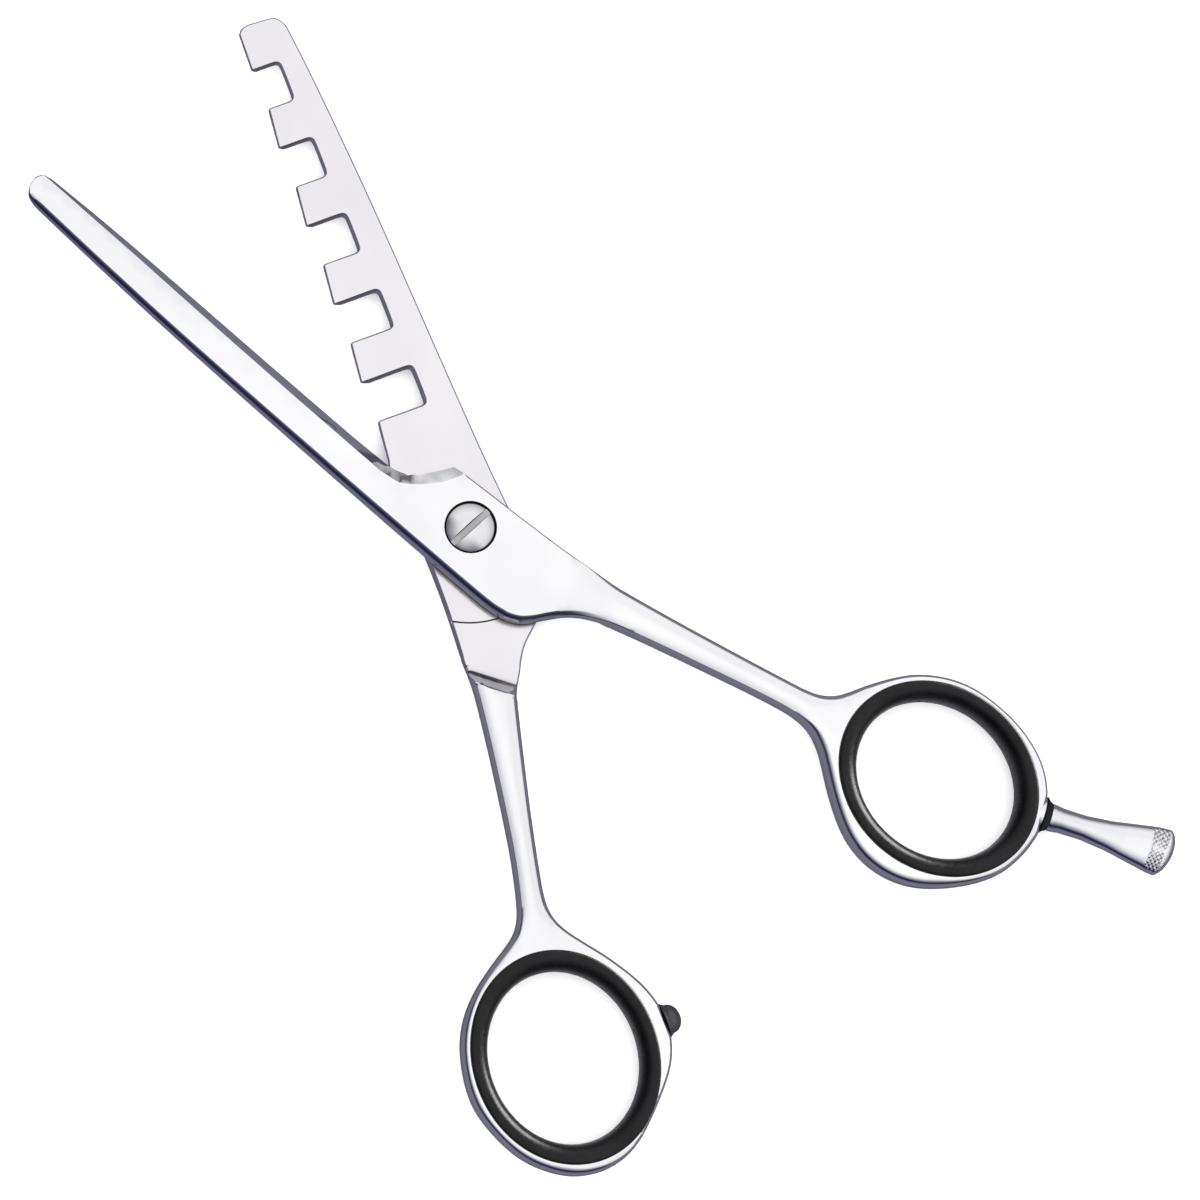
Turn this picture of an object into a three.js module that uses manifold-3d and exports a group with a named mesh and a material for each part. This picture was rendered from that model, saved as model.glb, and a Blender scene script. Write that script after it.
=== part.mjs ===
// Thinning shears, 6 inch class: a plain cutting half, a toothed half, the pivot screw set,
// two rubber ring inserts, a removable finger rest and a stop bumper.
// Units are millimetres. Origin: on the pivot axis, at the flat end of the pivot screw, which is
// flush with the outer face of the toothed half. +Z points to the screw head, +Y to the blade
// tips, -Y to the finger rings. The pieces are built about the plane where the blades meet and
// lifted as one at the end.
import * as THREE from 'three';
import { mergeVertices } from 'three/addons/utils/BufferGeometryUtils.js';
import Module from 'manifold-3d';

// ---- driving dimensions -------------------------------------------------------------------

const OPEN_ANGLE = 29.7;          // angle between the blades at rest, degrees
const BLADE_LENGTH = 70.95;       // pivot axis to blade tip

// thicknesses, measured outward from the meeting plane of the blades
const INNER_FACE = 0.05;          // each half stands this far off the meeting plane
const BOLSTER_THICK = 3.0;        // flat outer face around the pivot
const TIP_THICK = 1.55;           // blade thickness at the tip
const TAPER_START = 2;            // height above the pivot where the blade starts to thin
const RECESS_FACE = 0.35;         // ground-back face between the ride area and the step
const RIDE_RADIUS = 11.8;         // polished ride area around the pivot
const HANDLE_HALF = 2.3;          // half the thickness of shank and ring

// edges
const BEVEL_RUN = 1.75;           // width of the cutting bevel where the blade is full thickness
const SPINE_CHAMFER = 1.05;
const HANDLE_ROUND = 0.7;         // rounding of shank and ring, seen in plan
const HANDLE_ROUND_DEPTH = 0.9;
const HOLE_CHAMFER = 0.3;
const EDGE_LAND = 0.1;            // height of the cutting edge's land

// step from the blade layer to the full-thickness shank
const STEP_LEFT = [1.2, -20.9];
const STEP_RIGHT = [6.4, -16.8];
const STEP_RUN = 1.6;             // plan width of the sloped step
const SHANK_START = -21.5;        // where the bolster has thinned to the shank

// comb of the toothed blade
const NOTCHES = 5;
const NOTCH_PITCH = 10.66;
const NOTCH_WIDTH = 5.25;
const FIRST_NOTCH = 62.4;         // height of the notch nearest the tip
const FIRST_NOTCH_FLOOR = 0.7;    // how far that notch's floor is from the blade's centre line
const NOTCH_FLOOR_STEP = -0.43;   // each lower notch is this much deeper
const TOOTH_END_AT_TIP = 4.25;    // reach of the teeth from the centre line, at the tip
const TOOTH_END_AT_BASE = 6.3;    // and at the foot of the comb
const BLADE_FOOT = 12;            // height of the foot of the comb
const TOOTH_SLANT = 0.4;          // each tooth end leans inward by this much
const NOTCH_FLOOR_RADIUS = 0.7;
const TOOTH_CORNER_RADIUS = 0.4;

// pivot set
const COUNTERBORE_R = 3.45;
const COUNTERBORE_FLOOR = 1.2;
const PIVOT_HOLE_R = 2.3;
const HEAD_R = 3.12;
const HEAD_RIM_Z = 3.05;
const HEAD_TOP_Z = 3.75;
const HEAD_SEAT_Z = 1.85;
const SHOULDER_R = 1.82;
const THREAD_R = 1.5;
const SLOT_WIDTH = 0.75;
const SLOT_DEPTH = 0.95;
const SLOT_ANGLE = 6.6;           // degrees from +X
const NUT_R = 2.6;
const NUT_FLANGE_R = 3.3;
const NUT_TOP_Z = 0.45;           // nut heights are measured outward from the meeting plane
const NUT_FLANGE_Z = 2.35;
const NUT_FACE_Z = 2.95;
const SCREW_END_Z = -3;         // flush with the outer face of the toothed half
const SHOULDER_END_Z = 0.1;
const FIT_GAP = 0.08;             // gap between pieces that sit in one another

// rings: semi-axes of the hole in the steel, and the rubber insert in it
const HOLE_SEMI_X = 11.5;
const HOLE_SEMI_Y = 13.35;
const FINGER_RING = [13.45, -66.4];
const THUMB_RING = [13.1, -66.6];
const INSERT_HALF_WIDTH = 3.0;
const INSERT_LIP = 0.3;           // lip that covers the steel's edge on both faces
const INSERT_GROOVE_GAP = 0.15;
const INSERT_WALL = 2.2;          // from the steel's edge to the finger opening

// finger rest, screwed to the far side of the finger ring
const REST_SEAT = [19.2, -80.8];  // centre of its base
const REST_ANGLE = 22.1;          // its axis, degrees from -Y towards +X
const REST_STUD_R = 1.0;
const REST_STUD_LENGTH = 2.3;
const REST_WASHER_THICK = 0.9;
const REST_GAP = 0.06;            // gap on each face of the washer

// stop bumper on the thumb ring
const BUMPER_SEAT = [-0.55, -66.9];
const BUMPER_HEIGHT = 2.15;
const BUMPER_R = 2.2;
const BUMPER_STEM_R = 0.8;
const BUMPER_STEM_LENGTH = 1.6;

// facets
const OUTLINE_STEP = 2.0;         // longest facet along a gentle outline
const ROUND_SEGMENTS = 40;
const RING_SEGMENTS = 48;
const SMALL_SEGMENTS = 24;

// ---- materials ----------------------------------------------------------------------------

const material = (color, roughness, metalness) =>
  new THREE.MeshStandardMaterial({ color, roughness, metalness });

const polishedSteel = () => material(0xe6e6ec, 0.16, 1.0);
const satinSteel = () => material(0xdcd9e0, 0.34, 1.0);
const springSteel = () => material(0x9c9ca2, 0.3, 1.0);
const blackNylon = () => material(0x101012, 0.55, 0.0);
const blackRubber = () => material(0x131416, 0.5, 0.0);

// ---- solids -------------------------------------------------------------------------------

const wasm = await Module();
wasm.setup();

function solid(geometry) {
  const bare = geometry.clone();
  bare.deleteAttribute('normal');
  bare.deleteAttribute('uv');
  const merged = mergeVertices(bare, 1e-4);
  return new wasm.Manifold(new wasm.Mesh({
    numProp: 3,
    vertProperties: new Float32Array(merged.attributes.position.array),
    triVerts: new Uint32Array(merged.index.array),
  }));
}

function meshOf(name, body, look) {
  const { vertProperties, triVerts } = body.getMesh();
  const geometry = new THREE.BufferGeometry();
  geometry.setAttribute('position', new THREE.BufferAttribute(new Float32Array(vertProperties), 3));
  geometry.setIndex(new THREE.BufferAttribute(new Uint32Array(triVerts), 1));
  geometry.computeVertexNormals();
  const mesh = new THREE.Mesh(geometry, look);
  mesh.name = name;
  return mesh;
}

const toVectors = (points) => points.map(([x, y]) => new THREE.Vector2(x, y));

// points along a smooth curve through the given ones, no further apart than step
function smooth(points, step = OUTLINE_STEP) {
  const curve = new THREE.SplineCurve(toVectors(points));
  return curve.getSpacedPoints(Math.ceil(curve.getLength() / step));
}

function extrude(points, low, high) {
  const shape = new THREE.Shape(points);
  const geometry = new THREE.ExtrudeGeometry(shape, { depth: high - low, bevelEnabled: false });
  return solid(geometry.translate(0, 0, low));
}

// upright cylinder about the pivot axis
function drum(radius, low, high) {
  const geometry = new THREE.CylinderGeometry(radius, radius, high - low, ROUND_SEGMENTS);
  geometry.rotateX(Math.PI / 2);
  return solid(geometry.translate(0, 0, (low + high) / 2));
}

// solid of revolution about +Z from [radius, height] pairs
function turned(profile, segments = ROUND_SEGMENTS) {
  const geometry = new THREE.LatheGeometry(toVectors(profile), segments);
  return solid(geometry.rotateX(Math.PI / 2));
}

// ---- a half of the shears -----------------------------------------------------------------
// Both halves are built alike, outer face up: spine at -X, cutting side and handle at +X.

const BIG = 40;                   // beyond the blade, for cutting bodies

// prism with the side view of blade and bolster: thin at the tip, thinner again at the shank
function sideProfile() {
  const profile = toVectors([
    [BLADE_LENGTH + 2, INNER_FACE],
    [BLADE_LENGTH + 2, TIP_THICK],
    [TAPER_START, BOLSTER_THICK],
    [-13, BOLSTER_THICK],
    [SHANK_START, HANDLE_HALF],
    [SHANK_START, INNER_FACE],
  ]);
  const shape = new THREE.Shape(profile);
  const geometry = new THREE.ExtrudeGeometry(shape, { depth: 2 * BIG, bevelEnabled: false });
  // shape X runs along +Y of the half, shape Y along +Z
  geometry.applyMatrix4(new THREE.Matrix4().makeBasis(
    new THREE.Vector3(0, 1, 0), new THREE.Vector3(0, 0, 1), new THREE.Vector3(1, 0, 0)));
  return solid(geometry.translate(-BIG, 0, 0));
}

// body whose outline has a straight wall of height base under a sloping edge
function slopedEdge(points, base, run, rise) {
  return new THREE.ExtrudeGeometry(new THREE.Shape(points), {
    depth: base,
    bevelEnabled: true,
    bevelSegments: 1,
    bevelSize: run,
    bevelOffset: -run,
    bevelThickness: rise,
  });
}

// the cutting side: everything left of the edge, under a bevel that rises from it
function cuttingBevel(edge) {
  const outline = [
    new THREE.Vector2(-BIG, edge[0].y),
    ...edge,
    new THREE.Vector2(-BIG, edge.at(-1).y),
  ];
  return solid(slopedEdge(outline, EDGE_LAND, BEVEL_RUN, BOLSTER_THICK));
}

// chamfer on the spine: it keeps its depth below the outer face as the blade thins
function spineChamfer(spine) {
  const outline = [
    ...spine,
    new THREE.Vector2(spine.at(-1).x + 2.4, SHANK_START - 2),
    new THREE.Vector2(BIG, SHANK_START - 2),
    new THREE.Vector2(BIG, BLADE_LENGTH + 5),
    new THREE.Vector2(spine[0].x, BLADE_LENGTH + 5),
  ];
  const wall = BOLSTER_THICK - SPINE_CHAMFER;
  const clear = SPINE_CHAMFER + 1;
  const geometry = slopedEdge(outline, wall, clear, clear);
  const position = geometry.attributes.position;
  for (let i = 0; i < position.count; i++) {
    const along = THREE.MathUtils.clamp((position.getY(i) - TAPER_START) / BLADE_LENGTH, 0, 1);
    const thinning = along * (BOLSTER_THICK - TIP_THICK);
    if (position.getZ(i) > 0) position.setZ(i, position.getZ(i) - thinning);
  }
  return solid(geometry);
}

// everything under the meeting plane on the pivot side of the sloped step
function stepCutter() {
  const left = new THREE.Vector2(...STEP_LEFT);
  const along = new THREE.Vector2(...STEP_RIGHT).sub(left).normalize();
  const deep = -5;
  const slope = STEP_RUN / (RECESS_FACE + HANDLE_HALF);
  const section = toVectors([
    [(deep - RECESS_FACE) * slope, deep],
    [3 * BIG, deep],
    [3 * BIG, INNER_FACE],
    [0, INNER_FACE],
    [0, RECESS_FACE],
  ]);
  const shape = new THREE.Shape(section);
  const geometry = new THREE.ExtrudeGeometry(shape, { depth: 2 * BIG, bevelEnabled: false });
  geometry.applyMatrix4(new THREE.Matrix4().makeBasis(
    new THREE.Vector3(-along.y, along.x, 0),
    new THREE.Vector3(0, 0, 1),
    new THREE.Vector3(along.x, along.y, 0)));
  return solid(geometry.translate(left.x - BIG * along.x, left.y - BIG * along.y, 0));
}

// shallow ground-back area between the ride area and the step
function recessCutter() {
  const [lx, ly] = STEP_LEFT;
  const [rx, ry] = STEP_RIGHT;
  const stepLine = (x) => ly + (x - lx) * (ry - ly) / (rx - lx);
  const area = toVectors([
    [-9, -6], [-9, stepLine(-9)], [12, stepLine(12)], [12, -6],
  ]);
  return extrude(area, -1, RECESS_FACE).subtract(drum(RIDE_RADIUS, -2, 1));
}

// shank and ring without its hole: full thickness with rounded edges
function handleBody(outline) {
  const geometry = new THREE.ExtrudeGeometry(new THREE.Shape(outline), {
    depth: 2 * (HANDLE_HALF - HANDLE_ROUND_DEPTH),
    bevelEnabled: true,
    bevelSegments: 2,
    bevelSize: HANDLE_ROUND,
    bevelOffset: -HANDLE_ROUND,
    bevelThickness: HANDLE_ROUND_DEPTH,
  });
  return solid(geometry.translate(0, 0, HANDLE_ROUND_DEPTH - HANDLE_HALF));
}

// oval solid of revolution in a ring: section offsets are from the edge of the steel's hole
function ovalTurned(section) {
  const mean = (HOLE_SEMI_X + HOLE_SEMI_Y) / 2;
  const profile = section.map(([offset, z]) => [Math.max(mean + offset, 0), z]);
  const geometry = new THREE.LatheGeometry(toVectors(profile), RING_SEGMENTS);
  geometry.rotateX(Math.PI / 2);
  return solid(geometry.scale(HOLE_SEMI_X / mean, HOLE_SEMI_Y / mean, 1));
}

// oval hole for the rubber insert, with both mouths chamfered
function ringHole([x, y]) {
  const mouth = HANDLE_HALF - HOLE_CHAMFER;
  const flare = HOLE_CHAMFER + 1;
  return ovalTurned([
    [-BIG, -mouth - flare], [flare, -mouth - flare], [0, -mouth],
    [0, mouth], [flare, mouth + flare], [-BIG, mouth + flare],
  ]).translate([x, y, 0]);
}

function shearsHalf({ slab, spine, edge, handle, ring }) {
  const blade = extrude(slab, INNER_FACE, BOLSTER_THICK + 1)
    .intersect(sideProfile())
    .intersect(cuttingBevel(edge))
    .intersect(spineChamfer(spine));
  return blade.add(handleBody(handle))
    .subtract(ringHole(ring))
    .subtract(stepCutter())
    .subtract(recessCutter());
}

// ---- outlines -----------------------------------------------------------------------------

const corner = (x, y) => new THREE.Vector2(x, y);

// rounded corner from one point to another about a control point
function rounded(from, control, to) {
  const curve = new THREE.QuadraticBezierCurve(...toVectors([from, control, to]));
  return curve.getPoints(4);
}

// spine from the tip, round the heel of the bolster and down the inner side of the shank
const FINGER_SPINE = [
  ...smooth([[-3.3, 68], [-3.85, 60], [-4.8, 45], [-5.5, 25], [-6, 10], [-6.4, -3], [-6.4, -8.5]], 6),
  ...smooth([[-6.15, -10.6], [-5.2, -12.7], [-3.8, -14], [-2, -15.5], [-0.3, -17.2], [1, -19.5]]),
];
const THUMB_SPINE = [
  ...smooth([[-2, 68.5], [-2.8, 60], [-3.8, 45], [-4.7, 27], [-5.4, 10], [-6.2, -3], [-6.2, -8.5]], 6),
  ...smooth([[-6, -10.6], [-5.1, -12.8], [-3.8, -14.2], [-2.4, -15.3], [-0.9, -17], [0.3, -19.2]]),
];

// inner side of shank and ring, from the step down to the lowest point of the ring
const FINGER_INNER = [
  [2, -22], [4.5, -31.5], [7.2, -42.5], [8.05, -48.3], [6.9, -52], [3, -57.2], [0.2, -62],
  [-0.7, -67], [0.7, -72.3], [4.5, -77], [9.1, -80.2], [14, -81.1],
];
const THUMB_INNER = [
  [1.9, -21.8], [4.5, -31.5], [6.8, -41], [8.1, -48], [7.2, -51.5], [3, -57.3], [0.2, -62.3],
  [-0.7, -67], [0.5, -71.8], [4.7, -76.8], [9.2, -80.5], [13.4, -81.6],
];

// outer side, from the lowest point of the ring up to the bolster
const FINGER_OUTER = [
  [14, -81.1], [18.2, -80.4], [22.6, -77.3], [25.2, -72.3], [26, -66.5], [25.2, -60.9], [22.2, -55.8],
  [17.5, -52.1], [13.6, -49.7], [12, -47], [10.5, -40.5], [8.3, -29.5], [6.5, -19.5], [5.8, -15],
];
const THUMB_OUTER = [
  [13.4, -81.6], [17.7, -80.7], [22.4, -76.9], [25.2, -71.4], [26, -66.5], [24.6, -60.2], [21.5, -55.7],
  [17, -52.3], [13.7, -50.2], [12.1, -48], [10.2, -41], [8.3, -30], [6.9, -20], [6.55, -15],
];

const handleOutline = (inner, outer) =>
  [...smooth(inner), ...smooth(outer).slice(1), corner(0.6, -18.6)];

// blade and bolster seen from outside, down to the shank. The cutting side is only roughed
// out here, because the cutting bevel trims it.
const FINGER_SLAB = [
  ...rounded([1.2, 67], [1, 70.5], [-0.4, 70.65]),
  ...rounded([-1.3, 70.6], [-2.9, 70.5], [-3.25, 68.4]),
  ...FINGER_SPINE,
  corner(1.9, SHANK_START),
  corner(6.8, SHANK_START),
  ...smooth([[6.2, -18], [5.5, -12], [5.05, -2], [4.8, 6.6]], 4),
];
const THUMB_SLAB = [
  ...rounded([4.4, 69.6], [4.2, 70.9], [2.6, 70.95]),
  ...rounded([-0.2, 70.8], [-1.5, 70.7], [-1.95, 69]),
  ...THUMB_SPINE,
  corner(1.8, SHANK_START),
  corner(7.1, SHANK_START),
  ...smooth([[6.7, -18], [6.3, -12], [6.05, -6], [6.1, 0], [6.3, 10]], 4),
  corner(7, 12),
];

// cutting edge of the plain blade from beyond the tip, then the concave heel
const FINGER_EDGE = [
  corner(0.97, 76),
  ...smooth([[0.97, 66], [0.9, 55], [0.45, 40], [0.15, 27], [-0.05, 13]], 8),
  ...smooth([[0.3, 10.3], [2.5, 8.2], [4.8, 6.5]], 1.5),
  corner(BIG, 6.5),
  corner(BIG, -BIG),
];

// line through the tooth ends; the bevel runs out beside the bolster
const THUMB_EDGE = [
  corner(TOOTH_END_AT_TIP, 76),
  corner(TOOTH_END_AT_TIP, BLADE_LENGTH),
  corner(TOOTH_END_AT_BASE, BLADE_FOOT),
  ...smooth([[6.6, 10.4], [7.6, 9.2], [9.5, 8.5]], 1.5),
  corner(BIG, 8.5),
  corner(BIG, -BIG),
];

// ---- comb ---------------------------------------------------------------------------------

// how far a tooth ends from the blade's centre line at a height y
function toothEnd(y) {
  const down = (BLADE_LENGTH - y) / (BLADE_LENGTH - BLADE_FOOT);
  return THREE.MathUtils.lerp(TOOTH_END_AT_TIP, TOOTH_END_AT_BASE, down);
}

// one notch, together with the sliver that slants the end of the tooth below it
function notchCutter(index) {
  const middle = FIRST_NOTCH - index * NOTCH_PITCH;
  const top = middle + NOTCH_WIDTH / 2;
  const bottom = middle - NOTCH_WIDTH / 2;
  const toothFoot = bottom - (NOTCH_PITCH - NOTCH_WIDTH);
  const floor = FIRST_NOTCH_FLOOR + index * NOTCH_FLOOR_STEP;
  const upper = toothEnd(top);
  const lower = toothEnd(bottom) - TOOTH_SLANT;
  const r = NOTCH_FLOOR_RADIUS;
  const c = TOOTH_CORNER_RADIUS;
  return extrude([
    corner(upper + 3, top + c),
    ...rounded([upper, top + c], [upper, top], [upper - c, top]),
    ...rounded([floor + r, top], [floor, top], [floor, top - r]),
    ...rounded([floor, bottom + r], [floor, bottom], [floor + r, bottom]),
    ...rounded([lower - c, bottom], [lower, bottom], [lower, bottom - c]),
    corner(toothEnd(toothFoot), toothFoot),
    corner(upper + 3, toothFoot),
  ], -1, BOLSTER_THICK + 1);
}

// ---- finger rest --------------------------------------------------------------------------

// turns a body made about +Z to point along the plan, at an angle from -Y towards +X
const alongPlan = (body, [x, y], angle) =>
  body.rotate([90, 0, 0]).rotate([0, 0, angle]).translate([x, y, 0]);

const stud = (radius, low, high) =>
  turned([[0, low], [radius, low], [radius, high], [0, high]], SMALL_SEGMENTS);

function fingerRest() {
  const waisted = turned([
    [0, 0], [1.8, 0], [1.62, 1.6], [1.6, 4.5], [1.95, 8], [2.5, 11], [3.05, 14],
    [3.15, 15.2], [2.75, 15.9], [1.6, 16.4], [0, 16.6],
  ], 32);
  const topLine = [[-1, 1.9], [4, 1.6], [10, 1.45], [14, 1.75], [18, 2]];
  const sideView = [...smooth(topLine), ...smooth(topLine.map(([u, h]) => [u, -h])).reverse()];
  const shape = new THREE.Shape(sideView);
  const geometry = new THREE.ExtrudeGeometry(shape, { depth: 10, bevelEnabled: false });
  geometry.translate(0, 0, -5);
  // side view: shape X along the rest, shape Y through its thickness
  geometry.applyMatrix4(new THREE.Matrix4().makeBasis(
    new THREE.Vector3(0, 0, 1), new THREE.Vector3(0, 1, 0), new THREE.Vector3(-1, 0, 0)));
  return waisted.intersect(solid(geometry)).add(stud(REST_STUD_R, -REST_STUD_LENGTH, 0.5));
}

function fingerRestWasher() {
  const top = -REST_GAP;
  const bottom = top - REST_WASHER_THICK;
  const bore = REST_STUD_R + FIT_GAP;
  return turned([[bore, bottom], [2.4, bottom], [2.3, bottom + 0.2], [1.85, top], [bore, top],
    [bore, bottom]], SMALL_SEGMENTS);
}

// ---- stop bumper --------------------------------------------------------------------------

function stopBumper() {
  const dome = [];
  for (let i = 0; i <= 6; i++) {
    const angle = (i / 6) * Math.PI / 2;
    dome.push([BUMPER_R * 0.86 * Math.cos(angle), 0.35 + (BUMPER_HEIGHT - 0.35) * Math.sin(angle)]);
  }
  dome[6][0] = 0;
  return turned([
    [0, -BUMPER_STEM_LENGTH], [BUMPER_STEM_R, -BUMPER_STEM_LENGTH], [BUMPER_STEM_R, 0],
    [BUMPER_R, 0], [BUMPER_R, 0.15], ...dome,
  ], SMALL_SEGMENTS);
}

// ---- rubber ring insert -------------------------------------------------------------------

function ringInsert() {
  const groove = HANDLE_HALF + INSERT_GROOVE_GAP;
  const upper = [
    [-INSERT_GROOVE_GAP, groove],
    [INSERT_LIP, groove],
    [INSERT_LIP, INSERT_HALF_WIDTH - 0.25],
    [0, INSERT_HALF_WIDTH],
    [-1, INSERT_HALF_WIDTH],
    [-1.75, 2.3],
    [-INSERT_WALL, 0.9],
  ];
  const lower = upper.map(([offset, z]) => [offset, -z]).reverse();
  return ovalTurned([...lower, ...upper, lower[0]]);
}

// ---- the two halves -----------------------------------------------------------------------

function makeFingerHalf() {
  const land = -REST_WASHER_THICK - 2 * REST_GAP;
  const boss = turned([[0, -2.4], [2.5, -2.4], [2.4, 0], [0, 0]], SMALL_SEGMENTS);
  const facing = turned([[0, land], [5, land], [5, 4], [0, 4]], SMALL_SEGMENTS);
  return shearsHalf({
    slab: FINGER_SLAB,
    spine: FINGER_SPINE,
    edge: FINGER_EDGE,
    handle: handleOutline(FINGER_INNER, FINGER_OUTER),
    ring: FINGER_RING,
  })
    .add(alongPlan(boss, REST_SEAT, REST_ANGLE).subtract(ringHole(FINGER_RING)))
    .subtract(alongPlan(facing, REST_SEAT, REST_ANGLE))
    .subtract(alongPlan(stud(REST_STUD_R + FIT_GAP, -4, 1), REST_SEAT, REST_ANGLE))
    .subtract(drum(COUNTERBORE_R, COUNTERBORE_FLOOR, 2 * BOLSTER_THICK))
    .subtract(drum(PIVOT_HOLE_R, -1, 2 * BOLSTER_THICK));
}

function makeThumbHalf() {
  const facing = turned([[0, -FIT_GAP], [3, -FIT_GAP], [3, 3], [0, 3]], SMALL_SEGMENTS);
  const stemHole = stud(BUMPER_STEM_R + FIT_GAP, -BUMPER_STEM_LENGTH - FIT_GAP, 1);
  let half = shearsHalf({
    slab: THUMB_SLAB,
    spine: THUMB_SPINE,
    edge: THUMB_EDGE,
    handle: handleOutline(THUMB_INNER, THUMB_OUTER),
    ring: THUMB_RING,
  })
    .subtract(alongPlan(facing, BUMPER_SEAT, -90))
    .subtract(alongPlan(stemHole, BUMPER_SEAT, -90))
    .subtract(drum(NUT_R + FIT_GAP, -1, 2 * BOLSTER_THICK))
    .subtract(drum(NUT_FLANGE_R + FIT_GAP, NUT_FLANGE_Z - FIT_GAP, 2 * BOLSTER_THICK));
  for (let index = 0; index < NOTCHES; index++) {
    half = half.subtract(notchCutter(index));
  }
  return half;
}

// ---- pivot set ----------------------------------------------------------------------------

function pivotScrew() {
  const dome = [];
  for (let i = 1; i <= 5; i++) {
    const along = i / 5;
    dome.push([HEAD_R * (1 - along), HEAD_RIM_Z + (HEAD_TOP_Z - HEAD_RIM_Z) * (1 - (1 - along) ** 2)]);
  }
  const body = turned([
    [0, SCREW_END_Z], [THREAD_R, SCREW_END_Z], [THREAD_R, SHOULDER_END_Z], [SHOULDER_R, SHOULDER_END_Z],
    [SHOULDER_R, HEAD_SEAT_Z], [HEAD_R, HEAD_SEAT_Z], [HEAD_R, HEAD_RIM_Z], ...dome,
  ]);
  const slot = new THREE.BoxGeometry(4 * HEAD_R, SLOT_WIDTH, 2 * SLOT_DEPTH);
  slot.translate(0, 0, HEAD_TOP_Z);
  return body.subtract(solid(slot));
}

// nylon bush: a sleeve around the shoulder and a cup whose rim shows around the head
function pivotBush() {
  const sleeveOuter = PIVOT_HOLE_R - FIT_GAP;
  const sleeveInner = SHOULDER_R + FIT_GAP;
  const cupOuter = COUNTERBORE_R - FIT_GAP;
  const cupInner = HEAD_R + FIT_GAP;
  const cupBottom = COUNTERBORE_FLOOR + FIT_GAP;
  const cupFloor = cupBottom + 0.22;
  const rim = BOLSTER_THICK - 0.05;
  return turned([
    [sleeveInner, 0.15], [sleeveOuter, 0.15], [sleeveOuter, cupBottom], [cupOuter, cupBottom],
    [cupOuter, rim], [cupInner, rim], [cupInner, cupFloor], [sleeveInner, cupFloor], [sleeveInner, 0.15],
  ]);
}

// ring spring between the head and the bush, drawn at its working height
function springWasher() {
  const bottom = COUNTERBORE_FLOOR + FIT_GAP + 0.27;
  const top = HEAD_SEAT_Z - 0.05;
  return turned([[2, bottom], [2.95, bottom], [2.95, top], [2, top], [2, bottom]]);
}

function pivotNut() {
  const bore = THREAD_R + FIT_GAP;
  return turned([
    [bore, NUT_TOP_Z], [NUT_R, NUT_TOP_Z], [NUT_R, NUT_FLANGE_Z], [NUT_FLANGE_R, NUT_FLANGE_Z],
    [NUT_FLANGE_R, NUT_FACE_Z], [bore, NUT_FACE_Z], [bore, NUT_TOP_Z],
  ]);
}

// ---- assembly -----------------------------------------------------------------------------

const degrees = THREE.MathUtils.degToRad;

const finger = new THREE.Group();
finger.rotation.z = degrees(OPEN_ANGLE / 2);
finger.add(meshOf('finger_half', makeFingerHalf(), polishedSteel()));

const fingerInsert = meshOf('finger_ring_insert', ringInsert(), blackRubber());
fingerInsert.position.set(...FINGER_RING, 0);
finger.add(fingerInsert);

const rest = new THREE.Group();
rest.position.set(...REST_SEAT, 0);
rest.rotation.z = degrees(REST_ANGLE);
for (const mesh of [
  meshOf('finger_rest', fingerRest(), polishedSteel()),
  meshOf('finger_rest_washer', fingerRestWasher(), blackRubber()),
]) {
  mesh.rotation.x = Math.PI / 2;
  rest.add(mesh);
}
finger.add(rest);

// the thumb half is made outer face up and turned over, so its outer face is underneath
const thumb = new THREE.Group();
thumb.rotation.z = degrees(-OPEN_ANGLE / 2);
const turnedOver = new THREE.Group();
turnedOver.rotation.y = Math.PI;
thumb.add(turnedOver);
turnedOver.add(meshOf('thumb_half', makeThumbHalf(), satinSteel()));
turnedOver.add(meshOf('pivot_nut', pivotNut(), polishedSteel()));

const thumbInsert = meshOf('thumb_ring_insert', ringInsert(), blackRubber());
thumbInsert.position.set(...THUMB_RING, 0);
turnedOver.add(thumbInsert);

const bumper = meshOf('stop_bumper', stopBumper(), blackRubber());
bumper.position.set(...BUMPER_SEAT, 0);
bumper.rotation.set(Math.PI / 2, 0, degrees(-90), 'ZXY');
turnedOver.add(bumper);

const screw = meshOf('pivot_screw', pivotScrew(), polishedSteel());
screw.rotation.z = degrees(SLOT_ANGLE);

const shears = new THREE.Group();
shears.position.z = -SCREW_END_Z;
shears.add(finger, thumb, screw);
shears.add(meshOf('pivot_bush', pivotBush(), blackNylon()));
shears.add(meshOf('spring_washer', springWasher(), springSteel()));

export default shears;
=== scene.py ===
"""Thinning shears: fine steel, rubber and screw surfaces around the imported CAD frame."""

import math

import bmesh
import bpy
import numpy as np
from mathutils import Matrix, Vector
from mathutils.geometry import delaunay_2d_cdt


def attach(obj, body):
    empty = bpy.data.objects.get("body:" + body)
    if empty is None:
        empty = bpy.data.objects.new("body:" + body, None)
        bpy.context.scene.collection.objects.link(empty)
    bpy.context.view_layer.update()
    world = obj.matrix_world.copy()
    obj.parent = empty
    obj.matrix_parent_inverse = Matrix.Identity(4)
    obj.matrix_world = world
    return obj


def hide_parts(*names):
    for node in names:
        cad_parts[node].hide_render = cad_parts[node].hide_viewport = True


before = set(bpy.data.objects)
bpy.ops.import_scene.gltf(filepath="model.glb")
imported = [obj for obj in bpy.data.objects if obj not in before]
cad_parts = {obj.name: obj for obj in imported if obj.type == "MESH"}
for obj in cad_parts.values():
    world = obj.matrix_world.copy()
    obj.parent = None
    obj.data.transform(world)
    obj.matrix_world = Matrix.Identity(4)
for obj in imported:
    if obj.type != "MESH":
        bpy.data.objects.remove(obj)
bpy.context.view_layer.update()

# Lengths below are in millimetres; meshes are scaled to metres when they are made.
MM = 0.001

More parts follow.
